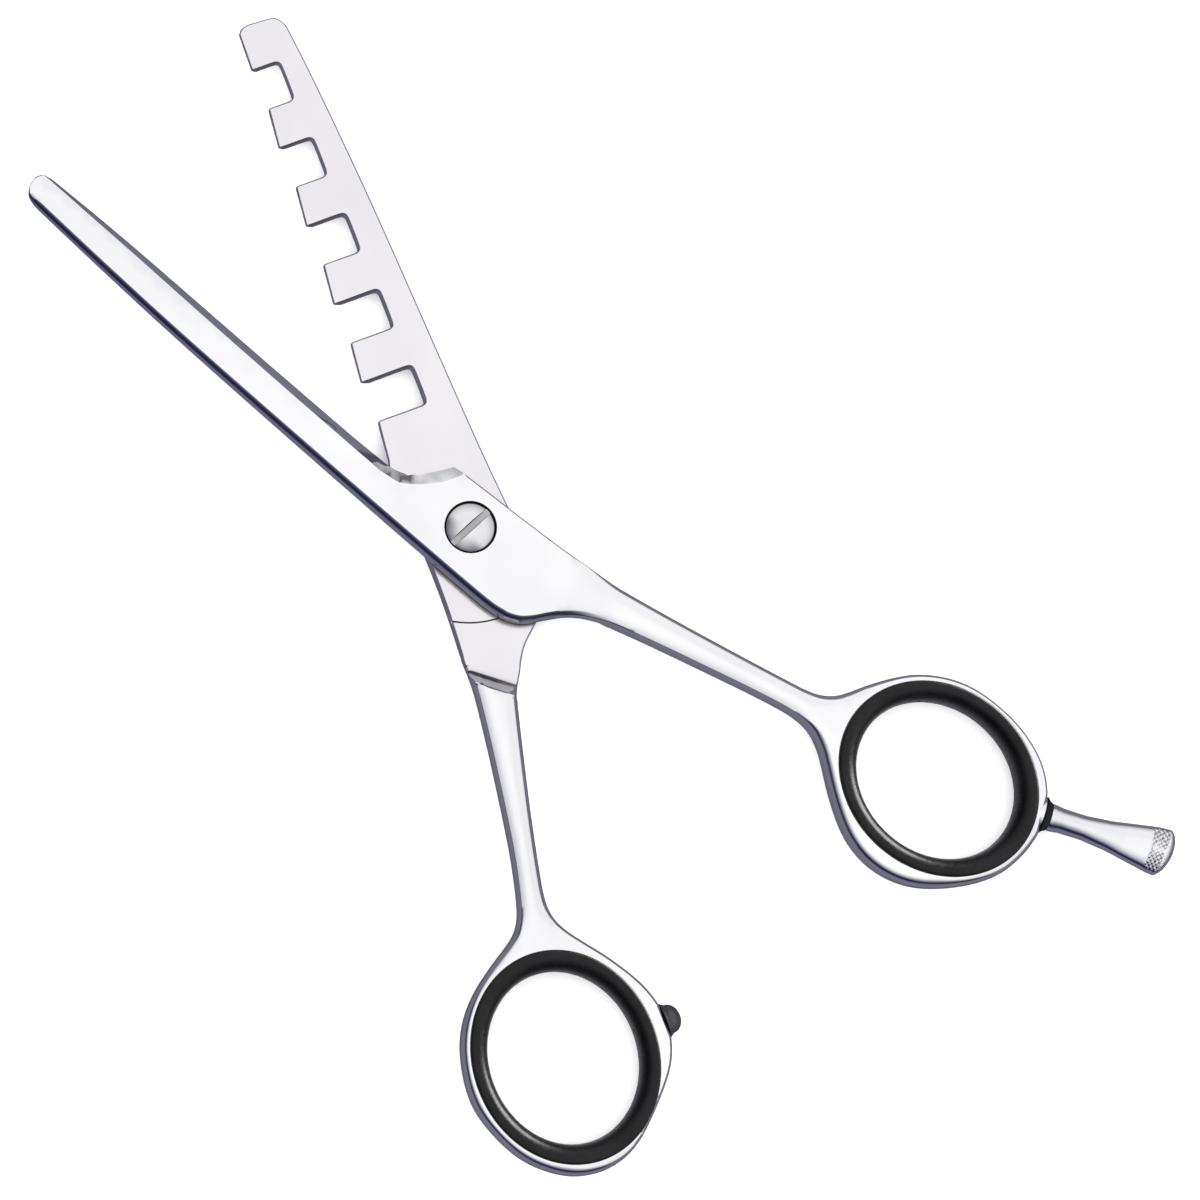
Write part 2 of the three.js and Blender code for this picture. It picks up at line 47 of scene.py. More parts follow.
# Driving dimensions shared with the CAD part.
MEETING_PLANE = 3.0           # height of the plane where the blades meet
OPEN_ANGLE = 29.7
INNER_FACE = 0.05
BOLSTER_THICK = 3.0
TIP_THICK = 1.55
BLADE_LENGTH = 70.95
RECESS_FACE = 0.35
RIDE_RADIUS = 11.8
HANDLE_HALF = 2.3
SHANK_START = -21.5
STEP_LEFT = np.array([1.2, -20.9])
STEP_RIGHT = np.array([6.4, -16.8])
STEP_RUN = 1.6
COUNTERBORE_R, COUNTERBORE_FLOOR, PIVOT_HOLE_R = 3.36, 1.2, 2.3
NUT_POCKET_R, NUT_POCKET_FLOOR, NUT_HOLE_R = 3.38, 2.27, 2.68
HOLE_SEMI = np.array([11.5, 13.35])
FINGER_RING = np.array([13.45, -66.4])
THUMB_RING = np.array([13.1, -66.6])
REST_SEAT = np.array([19.2, -80.8])
REST_ANGLE = 22.1
BUMPER_SEAT = np.array([-0.55, -66.9])

# Fine shape.
SPACING = 0.5                 # between points along an outline
HANDLE_TOP = -8.5             # the outline is a free curve below this
CHORD = 2.3                   # longest chord of that curve in the CAD
SHANK_ROUND, SHANK_SOFT = 0.45, 0.3     # rounding of the shank, and what its soft side adds
CROWN_REACH, CROWN_DROP = 2.2, 0.5     # gentle crown of the shank
RING_ROUND, RING_SOFT = 0.5, 0.75       # rounding of a ring, and what its soft side adds
SIDE_DEPTH = 1.5              # depth of the rounding
EDGE_BREAK = 0.2              # broken edges of bolster and blade, in plan
BREAK_DEPTH = 0.28
CREASE_ROUND = 0.12           # rounding of the crease above the cutting bevel
HOLE_CHAMFER = 0.3
FINGER_LAND, THUMB_LAND = 0.1, 0.5      # height of the side at the cutting edge
HEEL_LAND = 2.0               # the same at the heel of the plain blade
RIDE_STEP = 0.09              # half the width of the ride's curved step
STEP_FOOT, STEP_HEAD = 0.6, 0.16        # half the widths of the sloped step's rounded foot and head


# ---- small tools -------------------------------------------------------------------------

def smoothstep(start, end, x):
    t = np.clip((x - start) / (end - start), 0, 1)
    return t * t * (3 - 2 * t)


def turn(points, degrees):
    a = math.radians(degrees)
    matrix = np.array([[math.cos(a), -math.sin(a)], [math.sin(a), math.cos(a)]])
    return np.asarray(points) @ matrix.T


def circle(radius, count=96, centre=(0, 0), semi=(1, 1)):
    a = np.arange(count) * 2 * math.pi / count
    return np.column_stack([np.cos(a) * radius * semi[0], np.sin(a) * radius * semi[1]]) + centre


def segments(line, closed):
    line = np.asarray(line)
    return (line, np.roll(line, -1, axis=0)) if closed else (line[:-1], line[1:])


def distance(points, line, closed=False):
    """Distance from each point to a polyline."""
    a, b = segments(line, closed)
    ab = b - a
    length2 = np.maximum((ab ** 2).sum(1), 1e-12)
    result = np.empty(len(points))
    for start in range(0, len(points), 500):
        p = points[start:start + 500, None, :]
        t = np.clip(((p - a) * ab).sum(2) / length2, 0, 1)
        gap = p - (a + t[..., None] * ab)
        result[start:start + 500] = np.sqrt((gap ** 2).sum(2)).min(1)
    return result


def inside(points, loops):
    """Even-odd test against closed outlines."""
    result = np.zeros(len(points), bool)
    for loop in loops:
        a, b = segments(loop, True)
        for start in range(0, len(points), 1000):
            x = points[start:start + 1000, 0, None]
            y = points[start:start + 1000, 1, None]
            crosses = (a[:, 1] > y) != (b[:, 1] > y)
            rise = np.where(b[:, 1] == a[:, 1], 1, b[:, 1] - a[:, 1])
            at = a[:, 0] + (y - a[:, 1]) / rise * (b[:, 0] - a[:, 0])
            result[start:start + 1000] ^= ((crosses & (x < at)).sum(1) % 2).astype(bool)
    return result


# ---- outlines read from the CAD frame ----------------------------------------------------

def signed_area(loop):
    a, b = segments(loop, True)
    return (a[:, 0] * b[:, 1] - b[:, 0] * a[:, 1]).sum() / 2


def section(node, height):
    """Closed outlines where a CAD node meets the level plane at a height, largest first."""
    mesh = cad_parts[node].data
    mesh.calc_loop_triangles()
    corners = np.array([v.co for v in mesh.vertices], float) / MM
    corners[:, 2] -= height
    links = {}
    for tri in mesh.loop_triangles:
        ends = []
        for i, j in ((0, 1), (1, 2), (2, 0)):
            a, b = sorted(tuple(corners[tri.vertices[k]]) for k in (i, j))
            if (a[2] > 0) != (b[2] > 0):
                t = a[2] / (a[2] - b[2])
                ends.append(tuple(round(a[k] + t * (b[k] - a[k]), 3) for k in (0, 1)))
        if len(ends) == 2 and ends[0] != ends[1]:
            links.setdefault(ends[0], []).append(ends[1])
            links.setdefault(ends[1], []).append(ends[0])
    loops = []
    while links:
        here = min(links)
        loop = []
        while here in links:
            loop.append(here)
            following = [p for p in links.pop(here) if p in links]
            if following:
                here = following[0]
        loop = np.array(loop)
        if len(loop) > 5:
            loops.append(loop if signed_area(loop) > 0 else loop[::-1])
    return sorted(loops, key=lambda l: -abs(signed_area(l)))


def headings(loop):
    step = np.roll(loop, -1, axis=0) - loop
    return np.arctan2(step[:, 1], step[:, 0])


def turns(loop):
    """Angle by which a closed outline turns at each of its points, in degrees."""
    after = headings(loop)
    change = after - np.roll(after, 1)
    return np.degrees((change + math.pi) % (2 * math.pi) - math.pi)


def simplified(loop, angle=0.8):
    """Drops the points that lie on a straight stretch."""
    while True:
        flat = np.abs(turns(loop)) < angle
        flat[1:] &= ~flat[:-1]
        if not flat.any():
            return loop
        loop = loop[~flat]


def without_jogs(loop):
    """Drops the two points of each tiny step sideways."""
    bend = turns(loop)
    following = np.roll(bend, -1)
    step = np.linalg.norm(np.roll(loop, -1, axis=0) - loop, axis=1)
    jog = (np.abs(bend) > 40) & (np.abs(following) > 40) & (bend * following < 0) & (step < 0.3)
    return loop[~(jog | np.roll(jog, 1))]


def eased(loop):
    """Evens out the bends of the ring and the shank, whose outlines come in short chords."""
    before = np.linalg.norm(loop - np.roll(loop, 1, axis=0), axis=1)
    after = np.roll(before, -1)
    soft = (loop[:, 1] < HANDLE_TOP) & (np.abs(turns(loop)) < 25)
    soft &= (np.minimum(before, after) > 1) & (np.maximum(before, after) < CHORD)
    for share in (0.5, -0.5):       # the second pass undoes the shrinking of the first
        pull = (np.roll(loop, 1, axis=0) + np.roll(loop, -1, axis=0)) / 2 - loop
        loop = loop + share * pull * soft[:, None]
    return loop


def catmull(points, spacing):
    """Points along a centripetal Catmull-Rom curve through an open run of points."""
    if len(points) < 2:
        return points
    padded = np.vstack([2 * points[0] - points[1], points, 2 * points[-1] - points[-2]])
    out = []
    for p0, p1, p2, p3 in zip(padded, padded[1:], padded[2:], padded[3:]):
        t0 = 0
        t1 = t0 + math.sqrt(np.linalg.norm(p1 - p0))
        t2 = t1 + math.sqrt(np.linalg.norm(p2 - p1))
        t3 = t2 + math.sqrt(np.linalg.norm(p3 - p2))
        count = max(1, round(np.linalg.norm(p2 - p1) / spacing))
        for t in np.linspace(t1, t2, count, endpoint=False):
            a1 = (t1 - t) / (t1 - t0) * p0 + (t - t0) / (t1 - t0) * p1
            a2 = (t2 - t) / (t2 - t1) * p1 + (t - t1) / (t2 - t1) * p2
            a3 = (t3 - t) / (t3 - t2) * p2 + (t - t2) / (t3 - t2) * p3
            b1 = (t2 - t) / (t2 - t0) * a1 + (t - t0) / (t2 - t0) * a2
            b2 = (t3 - t) / (t3 - t1) * a2 + (t - t1) / (t3 - t1) * a3
            out.append((t2 - t) / (t2 - t1) * b1 + (t - t1) / (t2 - t1) * b2)
    out.append(points[-1])
    return np.array(out)


def refined(loop, spacing=SPACING, sharp=32, tight=9, guard=0.35):
    """A smooth, evenly sampled outline that keeps its sharp corners and straight stretches."""
    step = np.linalg.norm(loop - np.roll(loop, 1, axis=0), axis=1)
    loop = eased(without_jogs(simplified(loop[step > 0.07])))
    bend = np.abs(turns(loop))
    padded = []
    for i, point in enumerate(loop):
        after = loop[(i + 1) % len(loop)]
        length = np.linalg.norm(after - point)
        direction = (after - point) / length
        padded.append((point, bend[i] > sharp))
        free_form = point[1] < HANDLE_TOP and length < CHORD
        if length > 3 * guard and not free_form:
            if bend[i] > tight:
                padded.append((point + direction * guard, False))
            if bend[(i + 1) % len(loop)] > tight:
                padded.append((after - direction * guard, False))
    points = np.array([p for p, _ in padded])
    corners = [i for i, (_, is_sharp) in enumerate(padded) if is_sharp] or [0]
    out = []
    for start, end in zip(corners, corners[1:] + [corners[0] + len(points)]):
        run = points[np.arange(start, end + 1) % len(points)]
        out.append(catmull(run, spacing)[:-1])
    return np.vstack(out)


def chain(loop, level, upper):
    """The part of an outline above (or below) a level, with its two crossing points."""
    above = (loop[:, 1] > level) == upper
    start = next(i for i in range(len(loop)) if above[i] and not above[i - 1])
    loop = np.roll(loop, -start, axis=0)
    above = np.roll(above, -start)
    count = int(np.argmin(above)) if not above.all() else len(loop)

    def crossing(a, b):
        return a + (level - a[1]) / (b[1] - a[1]) * (b - a)

    first = crossing(loop[-1], loop[0])
    last = crossing(loop[count - 1], loop[count])
    return np.vstack([first, loop[:count], last])


def spliced(upper, lower, level):
    """One outline from the part of one above a level and the part of another below it."""
    return np.vstack([chain(upper, level, True)[:-1], chain(lower, level, False)[:-1]])


# ---- the two halves ----------------------------------------------------------------------
# A half is made in its own frame: closed position, outer face up, spine at -X. The finger
# half is then turned open; the thumb half is turned over first.

class Half:
    def __init__(self, node, thumb, ring, edge_line, inner_line):
        self.thumb = thumb
        self.land = THUMB_LAND if thumb else FINGER_LAND
        self.heel_land = THUMB_LAND if thumb else HEEL_LAND
        self.ring = ring
        self.edge_line = catmull(np.array(edge_line), 0.6)
        self.inner_line = np.array(inner_line)
        self.edge_body = np.vstack([self.edge_line, [[30, self.edge_line[-1][1]], [30, -90]],
                                    [[-30, -90], [-30, self.edge_line[0][1]]]])
        # three levels: at the cutting edge, through the bolster and through the shank's far side
        blade, bolster, handle = [self.silhouette(node, z, at) for z, at in (
            (INNER_FACE + 0.03, [-2, 30]), (0.6, [0, -12]), (-1.25, [5, -30]))]
        self.outer = refined(spliced(blade, spliced(bolster, handle, SHANK_START - 3.5), -8))
        self.outer = np.roll(self.outer, -int(np.argmin(self.outer[:, 1])), axis=0)
        tip = int(np.argmax(self.outer[:, 1]))
        self.right = self.outer[:tip + 1]
        self.left = np.vstack([self.outer[tip:], self.outer[:1]])
        self.ring_hole = circle(1, 160, ring, HOLE_SEMI)

    def silhouette(self, node, z, at):
        """Outline, at a height, of the piece of the half's section that holds a point."""
        level = MEETING_PLANE + (-z if self.thumb else z)
        for loop in section(node, level):
            loop = self.local(loop)
            if inside(np.array([at], float), [loop])[0]:
                return loop
        raise ValueError(f"{node} has no section at {z} round {at}")

    def local(self, points):
        """Row frame to the frame of the half; an outline stays anticlockwise."""
        if not self.thumb:
            return turn(points, -OPEN_ANGLE / 2)
        turned = turn(points, OPEN_ANGLE / 2) * [-1, 1]
        return turned[::-1]

    def world(self, points):
        points = np.array(points, float)
        angle = OPEN_ANGLE / 2
        if self.thumb:
            points *= [-1, 1, -1]
            angle = -angle
        points[:, :2] = turn(points[:, :2], angle)
        points[:, 2] += MEETING_PLANE
        return points

    # -- heights, measured outward from the meeting plane --

    def measure(self, p):
        """Distances and edge shapes that both faces share."""
        d_out = distance(p, self.outer, closed=True)
        d_left = distance(p, self.left)
        d_right = distance(p, self.right)
        d_hole = distance(p, self.ring_hole, closed=True)
        left_side = d_left < d_right
        y = p[:, 1]
        grow_right = smoothstep(-12.5, -20, y)
        grow_left = smoothstep(-14.5, -22, y)
        grow = np.where(left_side, grow_left, grow_right)
        ring = smoothstep(-47, -52, y)
        soft_side = (self.ring[0] - p[:, 0]) * (-1 if self.thumb else 1)
        ring_reach = RING_ROUND + RING_SOFT * smoothstep(-8, 8, soft_side)
        shank_reach = SHANK_ROUND + SHANK_SOFT * (left_side == self.thumb)
        reach = shank_reach + (ring_reach - shank_reach) * ring
        r = np.maximum(grow * reach, EDGE_BREAK)
        room = np.clip(d_out + d_hole - HOLE_CHAMFER - 0.15, 0.5, None)
        r = np.minimum(r, room)
        depth = np.maximum(grow * SIDE_DEPTH, BREAK_DEPTH)
        crown = CROWN_DROP * np.clip(1 - d_out / CROWN_REACH, 0, None) ** 2 * grow * (1 - ring)
        return {"out": d_out, "left": d_left, "hole": d_hole, "left_side": left_side,
                "grow": grow, "r": r, "depth": depth, "crown": crown}

    def base(self, y):
        blade = BOLSTER_THICK + (TIP_THICK - BOLSTER_THICK) * np.clip((y - 2) / BLADE_LENGTH, 0, 1)
        return blade + (HANDLE_HALF - blade) * smoothstep(-13, SHANK_START, y)

    def chamfer(self, y):
        """Plan width of the spine's chamfer."""
        width = np.interp(y, [-22, -14, -6, 2, 18, 40, 68.5],
                          [1.0, 1.25, 1.4, 1.35, 1.03, 0.87, 0.75])
        if self.thumb:
            return width
        # the chamfer runs straight on to the tip's corner, where it ends
        return np.minimum(width, np.interp(y, [68.5, 69.3, 70.0, 70.4], [0.75, 0.5, 0.17, 0.1]))

    def in_bevel(self, p):
        return inside(p, [np.vstack([self.edge_line, self.inner_line[::-1]])])

    def top(self, p, m):
        y = p[:, 1]
        base = self.base(y)
        t = np.clip(1 - m["out"] / m["r"], 0, 1)
        drop = m["depth"] * (1 - np.sqrt(1 - t * t)) + m["crown"]
        # spine chamfer, handing over to the rounded shank
        width = self.chamfer(y)
        flat = np.clip(width - m["left"], 0, None)
        flat *= 0.55 + 0.45 * flat / width
        fade = 1 - smoothstep(-14, -22, y)
        spine = m["left_side"] & (y > -22)
        drop = np.where(spine, flat * fade + drop * (1 - fade), drop)
        # cutting bevel
        bevel = self.in_bevel(p)
        d_edge = distance(p, self.edge_line)
        d_inner = distance(p, self.inner_line)
        rounded = d_inner ** 2 / (2 * CREASE_ROUND)
        inward = np.where(d_inner < CREASE_ROUND, rounded, d_inner - CREASE_ROUND / 2)
        share = inward / np.maximum(d_edge + d_inner - CREASE_ROUND / 2, 1e-6)
        beyond = ~inside(p, [self.edge_body])
        share = np.where(beyond, 1, np.where(bevel, share, 0))
        # at the heel the bevel is shallow
        heel = 1 - smoothstep(9.4, 12.6, y)
        land = self.land + (self.heel_land - self.land) * heel
        drop = np.where((share > 0) & ~spine, (base - land) * share, drop)
        drop = np.where(spine, np.maximum(drop, (base - land) * share), drop)
        # mouth of the ring's hole
        drop = np.maximum(drop, np.clip(HOLE_CHAMFER - m["hole"], 0, None))
        return base - drop

    def bottom(self, p, m):
        s = self.past_step(p)
        radius = np.hypot(p[:, 0], p[:, 1])
        recess = smoothstep(RIDE_RADIUS - RIDE_STEP, RIDE_RADIUS + RIDE_STEP, radius) * (p[:, 1] < -6)
        face = INNER_FACE + (RECESS_FACE - INNER_FACE) * recess
        slope = (RECESS_FACE + HANDLE_HALF) / STEP_RUN
        blade = face - slope * (self.rounded(s, STEP_FOOT) - self.rounded(s - STEP_RUN, STEP_HEAD))
        t = np.clip(1 - m["out"] / m["r"], 0, 1)
        rise = m["depth"] * (1 - np.sqrt(1 - t * t)) + m["crown"]
        # the blade's edges are broken by less where it is thin
        spare = 0.6 * (self.top(p, m) - blade)
        broken = np.minimum(BREAK_DEPTH * np.clip(1 - m["out"] / EDGE_BREAK, 0, None), spare)
        blade = np.where(s < 0, blade + broken, blade)
        rise = np.maximum(rise, np.clip(HOLE_CHAMFER - m["hole"], 0, None))
        return np.maximum(blade, -HANDLE_HALF + rise)

    def rounded(self, s, reach):
        """A ramp that starts at zero with a rounded corner."""
        blend = np.clip(s + reach, 0, None) ** 2 / (4 * reach)
        return np.where(s < reach, blend, s)

    def past_step(self, p):
        """Distance beyond the foot of the sloped step, towards the shank."""
        along = (STEP_RIGHT - STEP_LEFT) / np.linalg.norm(STEP_RIGHT - STEP_LEFT)
        normal = np.array([along[1], -along[0]])
        return (p - STEP_LEFT) @ normal

    # -- meshing --

    def offset_rows(self, loop, depth_of, steps):
        """Points at the given shares of a width inside an outline, clear of every other edge."""
        after = np.roll(loop, -1, axis=0)
        before = np.roll(loop, 1, axis=0)
        tangent = (after - before) / np.linalg.norm(after - before, axis=1)[:, None]
        normal = np.column_stack([-tangent[:, 1], tangent[:, 0]])
        rows = []
        for share in steps:
            away = depth_of * share
            p = loop + normal * away[:, None]
            gap = distance(p, loop, closed=True)
            keep = (gap > away - 0.02) & (away > 0.01)
            rows.append(p[keep])
        return np.vstack(rows)

    def build(self, name, top_hole, bottom_hole, floor_z):
        """Closed mesh of the half between its two faces."""
        mb = self.measure(self.outer + self.inward(self.outer) * 1e-3)
        top = self.face(True, circle(top_hole, 72), mb)
        bottom = self.face(False, circle(bottom_hole, 72), mb)
        mesh = bmesh.new()
        rings = []
        for (points, tris, loops), flip in ((top, False), (bottom, True)):
            verts = [mesh.verts.new(v) for v in points]
            for a, b, c in tris:
                mesh.faces.new([verts[a], verts[c], verts[b]] if flip else [verts[a], verts[b], verts[c]])
            rings.append([[verts[i] for i in loop] for loop in loops])
        for loop_top, loop_bottom, outward in zip(rings[0], rings[1], (True, False, False)):
            if outward or len(loop_top) != 72:
                bridge(mesh, loop_bottom, loop_top, outward)
            else:
                shelf = [mesh.verts.new((v.co.x, v.co.y, floor_z)) for v in loop_top]
                lip = [mesh.verts.new((v.co.x, v.co.y, floor_z)) for v in loop_bottom]
                bridge(mesh, shelf, loop_top, outward)
                bridge(mesh, lip, shelf, outward)
                bridge(mesh, loop_bottom, lip, outward)
        return mesh

    def inward(self, loop):
        tangent = np.roll(loop, -1, axis=0) - np.roll(loop, 1, axis=0)
        tangent /= np.linalg.norm(tangent, axis=1)[:, None]
        return np.column_stack([-tangent[:, 1], tangent[:, 0]])

    def face(self, is_top, pivot, mb):
        """Vertices, triangles and boundary loops of one face of the half."""
        loops = [self.outer, self.ring_hole, pivot]
        points = [np.vstack(loops)]
        starts = np.cumsum([0] + [len(l) for l in loops])
        edges = []
        for start, loop in zip(starts, loops):
            ids = np.arange(len(loop)) + start
            edges += list(zip(ids.tolist(), np.roll(ids, -1).tolist()))
        extra = []
        angles = [1 - math.cos(math.radians(a)) for a in (14, 28, 42, 56, 70, 84)]
        extra.append(self.offset_rows(self.outer, mb["r"] * (mb["grow"] > 0.02), angles))
        extra.append(self.offset_rows(self.outer, mb["r"] * (mb["grow"] <= 0.02), [1.0]))
        crowned = CROWN_REACH * (mb["crown"] > 0.3 * CROWN_DROP)
        extra.append(self.offset_rows(self.outer, crowned, (0.3, 0.45, 0.65, 0.85)))
        mouth = HOLE_SEMI + HOLE_CHAMFER
        extra.append(circle(1, 160, self.ring, mouth))
        spine = (mb["left_side"] & (self.outer[:, 1] > -24)) * self.chamfer(self.outer[:, 1])
        extra.append(self.offset_rows(self.outer, spine, (0.2, 0.4, 0.6, 0.8)))
        creases = self.top_creases() if is_top else self.bottom_creases()
        near = np.vstack(points + extra + creases)
        coarse, fine = self.grid(1.7), self.grid(0.8)
        zone = (fine[:, 1] > -24) & (fine[:, 1] < -10)
        grid = np.vstack([coarse[(coarse[:, 1] <= -24) | (coarse[:, 1] >= -10)], fine[zone]])
        gap = np.concatenate([
            np.sqrt(((grid[i:i + 400, None] - near[None]) ** 2).sum(2)).min(1)
            for i in range(0, len(grid), 400)])
        in_chamfer = (distance(grid, self.left) < self.chamfer(grid[:, 1]) + 0.2) & (grid[:, 1] > -24)
        extra.append(grid[(gap > 0.42) & ~in_chamfer])
        loose = np.vstack(extra)
        d_crease = np.full(len(loose), 9.0)
        for line in creases:
            d_crease = np.minimum(d_crease, distance(loose, line))
        points.append(loose[(d_crease > 0.1) & self.within(loose, pivot)])
        count = sum(len(p) for p in points)
        for line in creases:
            ok = self.within(line, pivot, 0.03)
            index = count + np.cumsum(ok) - 1
            count += int(ok.sum())
            points.append(line[ok])
            joined = np.flatnonzero(ok[:-1] & ok[1:])
            edges += [(int(index[i]), int(index[i + 1])) for i in joined]
        flat = np.vstack(points)
        result = delaunay_2d_cdt([Vector(p) for p in flat], edges, [], 0, 1e-5)
        out, _, tris, origin, _, _ = result
        xy = np.array([tuple(v) for v in out])
        tris = np.array([list(t) for t in tris])
        back = {}
        for new, olds in enumerate(origin):
            for old in olds:
                back[old] = new
        bounds = [[back[i + start] for i in range(len(loop))] for start, loop in zip(starts, loops)]
        tris = tris[inside(xy[tris].mean(1), [xy[b] for b in bounds])]
        measured = self.measure(xy)
        z = self.top(xy, measured) if is_top else self.bottom(xy, measured)
        used = np.unique(tris)
        lookup = np.full(len(xy), -1)
        lookup[used] = np.arange(len(used))
        vertices = np.column_stack([xy, z])[used]
        return vertices, lookup[tris], [[int(lookup[i]) for i in b] for b in bounds]

    def within(self, p, pivot, margin=0.02):
        ok = inside(p, [self.outer, self.ring_hole, pivot])
        for loop in (self.outer, self.ring_hole, pivot):
            ok &= distance(p, loop, closed=True) > margin
        return ok

    def grid(self, pitch):
        low, high = self.outer.min(0), self.outer.max(0)
        x = np.arange(low[0], high[0], pitch)
        y = np.arange(low[1], high[1], pitch)
        gx, gy = np.meshgrid(x, y)
        gx = gx + (np.arange(len(y)) % 2)[:, None] * pitch / 2
        return np.column_stack([gx.ravel(), gy.ravel()])

    def top_creases(self):
        left = self.left[(self.left[:, 1] > -21) & (self.left[:, 1] < 71)]
        tangent = np.gradient(left, axis=0)
        tangent /= np.linalg.norm(tangent, axis=1)[:, None]
        normal = np.column_stack([-tangent[:, 1], tangent[:, 0]])
        inner = left + normal * self.chamfer(left[:, 1])[:, None]
        inner = inner[distance(inner, left) > self.chamfer(inner[:, 1]) - 0.05]
        crease = catmull(self.inner_line, 0.6)
        aside = np.gradient(crease, axis=0) @ [[0, 1], [-1, 0]]
        aside /= np.linalg.norm(aside, axis=1)[:, None]
        rows = [crease + aside * CREASE_ROUND * share for share in (0, 0.33, 0.67, 1)]
        return rows + [inner]

    def bottom_creases(self):
        along = (STEP_RIGHT - STEP_LEFT) / np.linalg.norm(STEP_RIGHT - STEP_LEFT)
        normal = np.array([along[1], -along[0]])
        t = np.arange(-8, 14, 0.4)[:, None]
        foot = STEP_LEFT + t * along
        at_foot = np.linspace(-STEP_FOOT, STEP_FOOT, 8)
        at_head = np.linspace(-STEP_HEAD, STEP_HEAD, 4) + STEP_RUN
        rows = [foot + normal * away for away in (*at_foot, *at_head)]
        arc = np.radians(np.arange(-170, -20, 1.5))
        arc = np.column_stack([np.cos(arc), np.sin(arc)])
        arc = arc[arc[:, 1] * RIDE_RADIUS < -6]
        for share in (-1, -0.35, 0.35, 1):
            rows.append(arc * (RIDE_RADIUS + share * RIDE_STEP))
        return rows


def bridge(mesh, low, high, outward):
    """Wall between two loops that have the same number of points."""
    count = len(low)
    for i in range(count):
        j = (i + 1) % count
        quad = [low[i], low[j], high[j], high[i]]
        mesh.faces.new(quad if outward else quad[::-1])


def finished(bm, name, half=None, sharp=28):
    """Object from a bmesh in millimetres, smooth shaded with its real corners kept sharp."""
    bmesh.ops.remove_doubles(bm, verts=bm.verts, dist=1e-5)
    mesh = bpy.data.meshes.new(name)
    bm.to_mesh(mesh)
    bm.free()
    points = np.array([v.co for v in mesh.vertices], float)
    if half is not None:
        points = half.world(points)
    mesh.vertices.foreach_set("co", (points * MM).astype(np.float32).ravel())
    mesh.shade_smooth()
    mesh.set_sharp_from_angle(angle=math.radians(sharp))
    obj = bpy.data.objects.new(name, mesh)
    bpy.context.scene.collection.objects.link(obj)
    return obj


FINGER_EDGE = [[0.97, 74], [0.97, 66], [0.9, 55], [0.45, 40], [0.15, 27], [-0.05, 13], [0.3, 10.3],
               [2.5, 8.2], [4.8, 6.5], [7, 5.1]]
FINGER_BEVEL = [[0.5, 74], [0.42, 70], [0.33, 67.8], [0.2, 64.5], [0.07, 61.4], [-0.17, 55],
                [-0.86, 40], [-1.35, 27], [-1.76, 13.5], [-1.45, 10.6],
                [-0.6, 9.2], [0.4, 8.05], [2.0, 6.45], [3.9, 5.25], [6, 4.1]]
THUMB_EDGE = [[4.25, 74], [4.25, 70.95], [6.3, 12], [6.6, 10.4], [7.6, 9.2], [9.5, 8.5]]
THUMB_BEVEL = [[3.4, 74], [3.4, 70.95], [4.62, 12], [4.95, 9.6], [6.2, 7.4], [9.2, 6.4]]

finger_half = Half("finger_half", False, FINGER_RING, FINGER_EDGE, FINGER_BEVEL)
thumb_half = Half("thumb_half", True, THUMB_RING, THUMB_EDGE, THUMB_BEVEL)


# ---- small pieces ------------------------------------------------------------------------

def lathe(profile, count=96, closed=False):
    """Bmesh of a solid of revolution about +Z; a profile from axis to axis, or a closed one."""
    bm = bmesh.new()
    angles = np.arange(count) * 2 * math.pi / count
    rings = []
    for r, z in profile:
        if r < 1e-6:
            rings.append([bm.verts.new((0, 0, z))])
        else:
            rings.append([bm.verts.new((r * math.cos(a), r * math.sin(a), z)) for a in angles])
    pairs = list(zip(rings, rings[1:])) + ([(rings[-1], rings[0])] if closed else [])
    for low, high in pairs:
        for i in range(count):
            j = (i + 1) % count
            quad = [low[i % len(low)], low[j % len(low)], high[j % len(high)], high[i % len(high)]]
            corners = list(dict.fromkeys(quad))
            if len(corners) > 2:
                bm.faces.new(corners)
    bmesh.ops.recalc_face_normals(bm, faces=bm.faces)
    return bm


def arc(centre, radii, start, end, count=8):
    """Points on an elliptic arc, angles in degrees, for lathe profiles."""
    angles = np.radians(np.linspace(start, end, count))
    return [(centre[0] + radii[0] * math.cos(a), centre[1] + radii[1] * math.sin(a)) for a in angles]


def moved(bm, change):
    """Applies a function on an (n, 3) array of points to a bmesh."""
    points = change(np.array([v.co for v in bm.verts], float))
    for vert, point in zip(bm.verts, points):
        vert.co = point
    return bm


def along_plan(bm, seat, angle, half):
    """Lays a body made about +Z along the plan of a half: its axis at an angle from -Y to +X."""
    def change(p):
        q = np.column_stack([p[:, 0], -p[:, 2], p[:, 1]])
        q[:, :2] = turn(q[:, :2], angle) + seat
        return half.world(q)
    return moved(bm, change)


def lifted(bm, half=None):
    if half is not None:
        return moved(bm, half.world)
    return moved(bm, lambda p: p + [0, 0, MEETING_PLANE])


def cut(obj, cutter, operation="DIFFERENCE"):
    """Joins or cuts a mesh with another and drops the other."""
    modifier = obj.modifiers.new("cut", "BOOLEAN")
    modifier.operation = operation
    modifier.solver = "EXACT"
    modifier.object = cutter
    graph = bpy.context.evaluated_depsgraph_get()
    mesh = bpy.data.meshes.new_from_object(obj.evaluated_get(graph))
    obj.modifiers.clear()
    obj.data = mesh
    mesh.shade_smooth()
    mesh.set_sharp_from_angle(angle=math.radians(28))
    bpy.data.objects.remove(cutter)


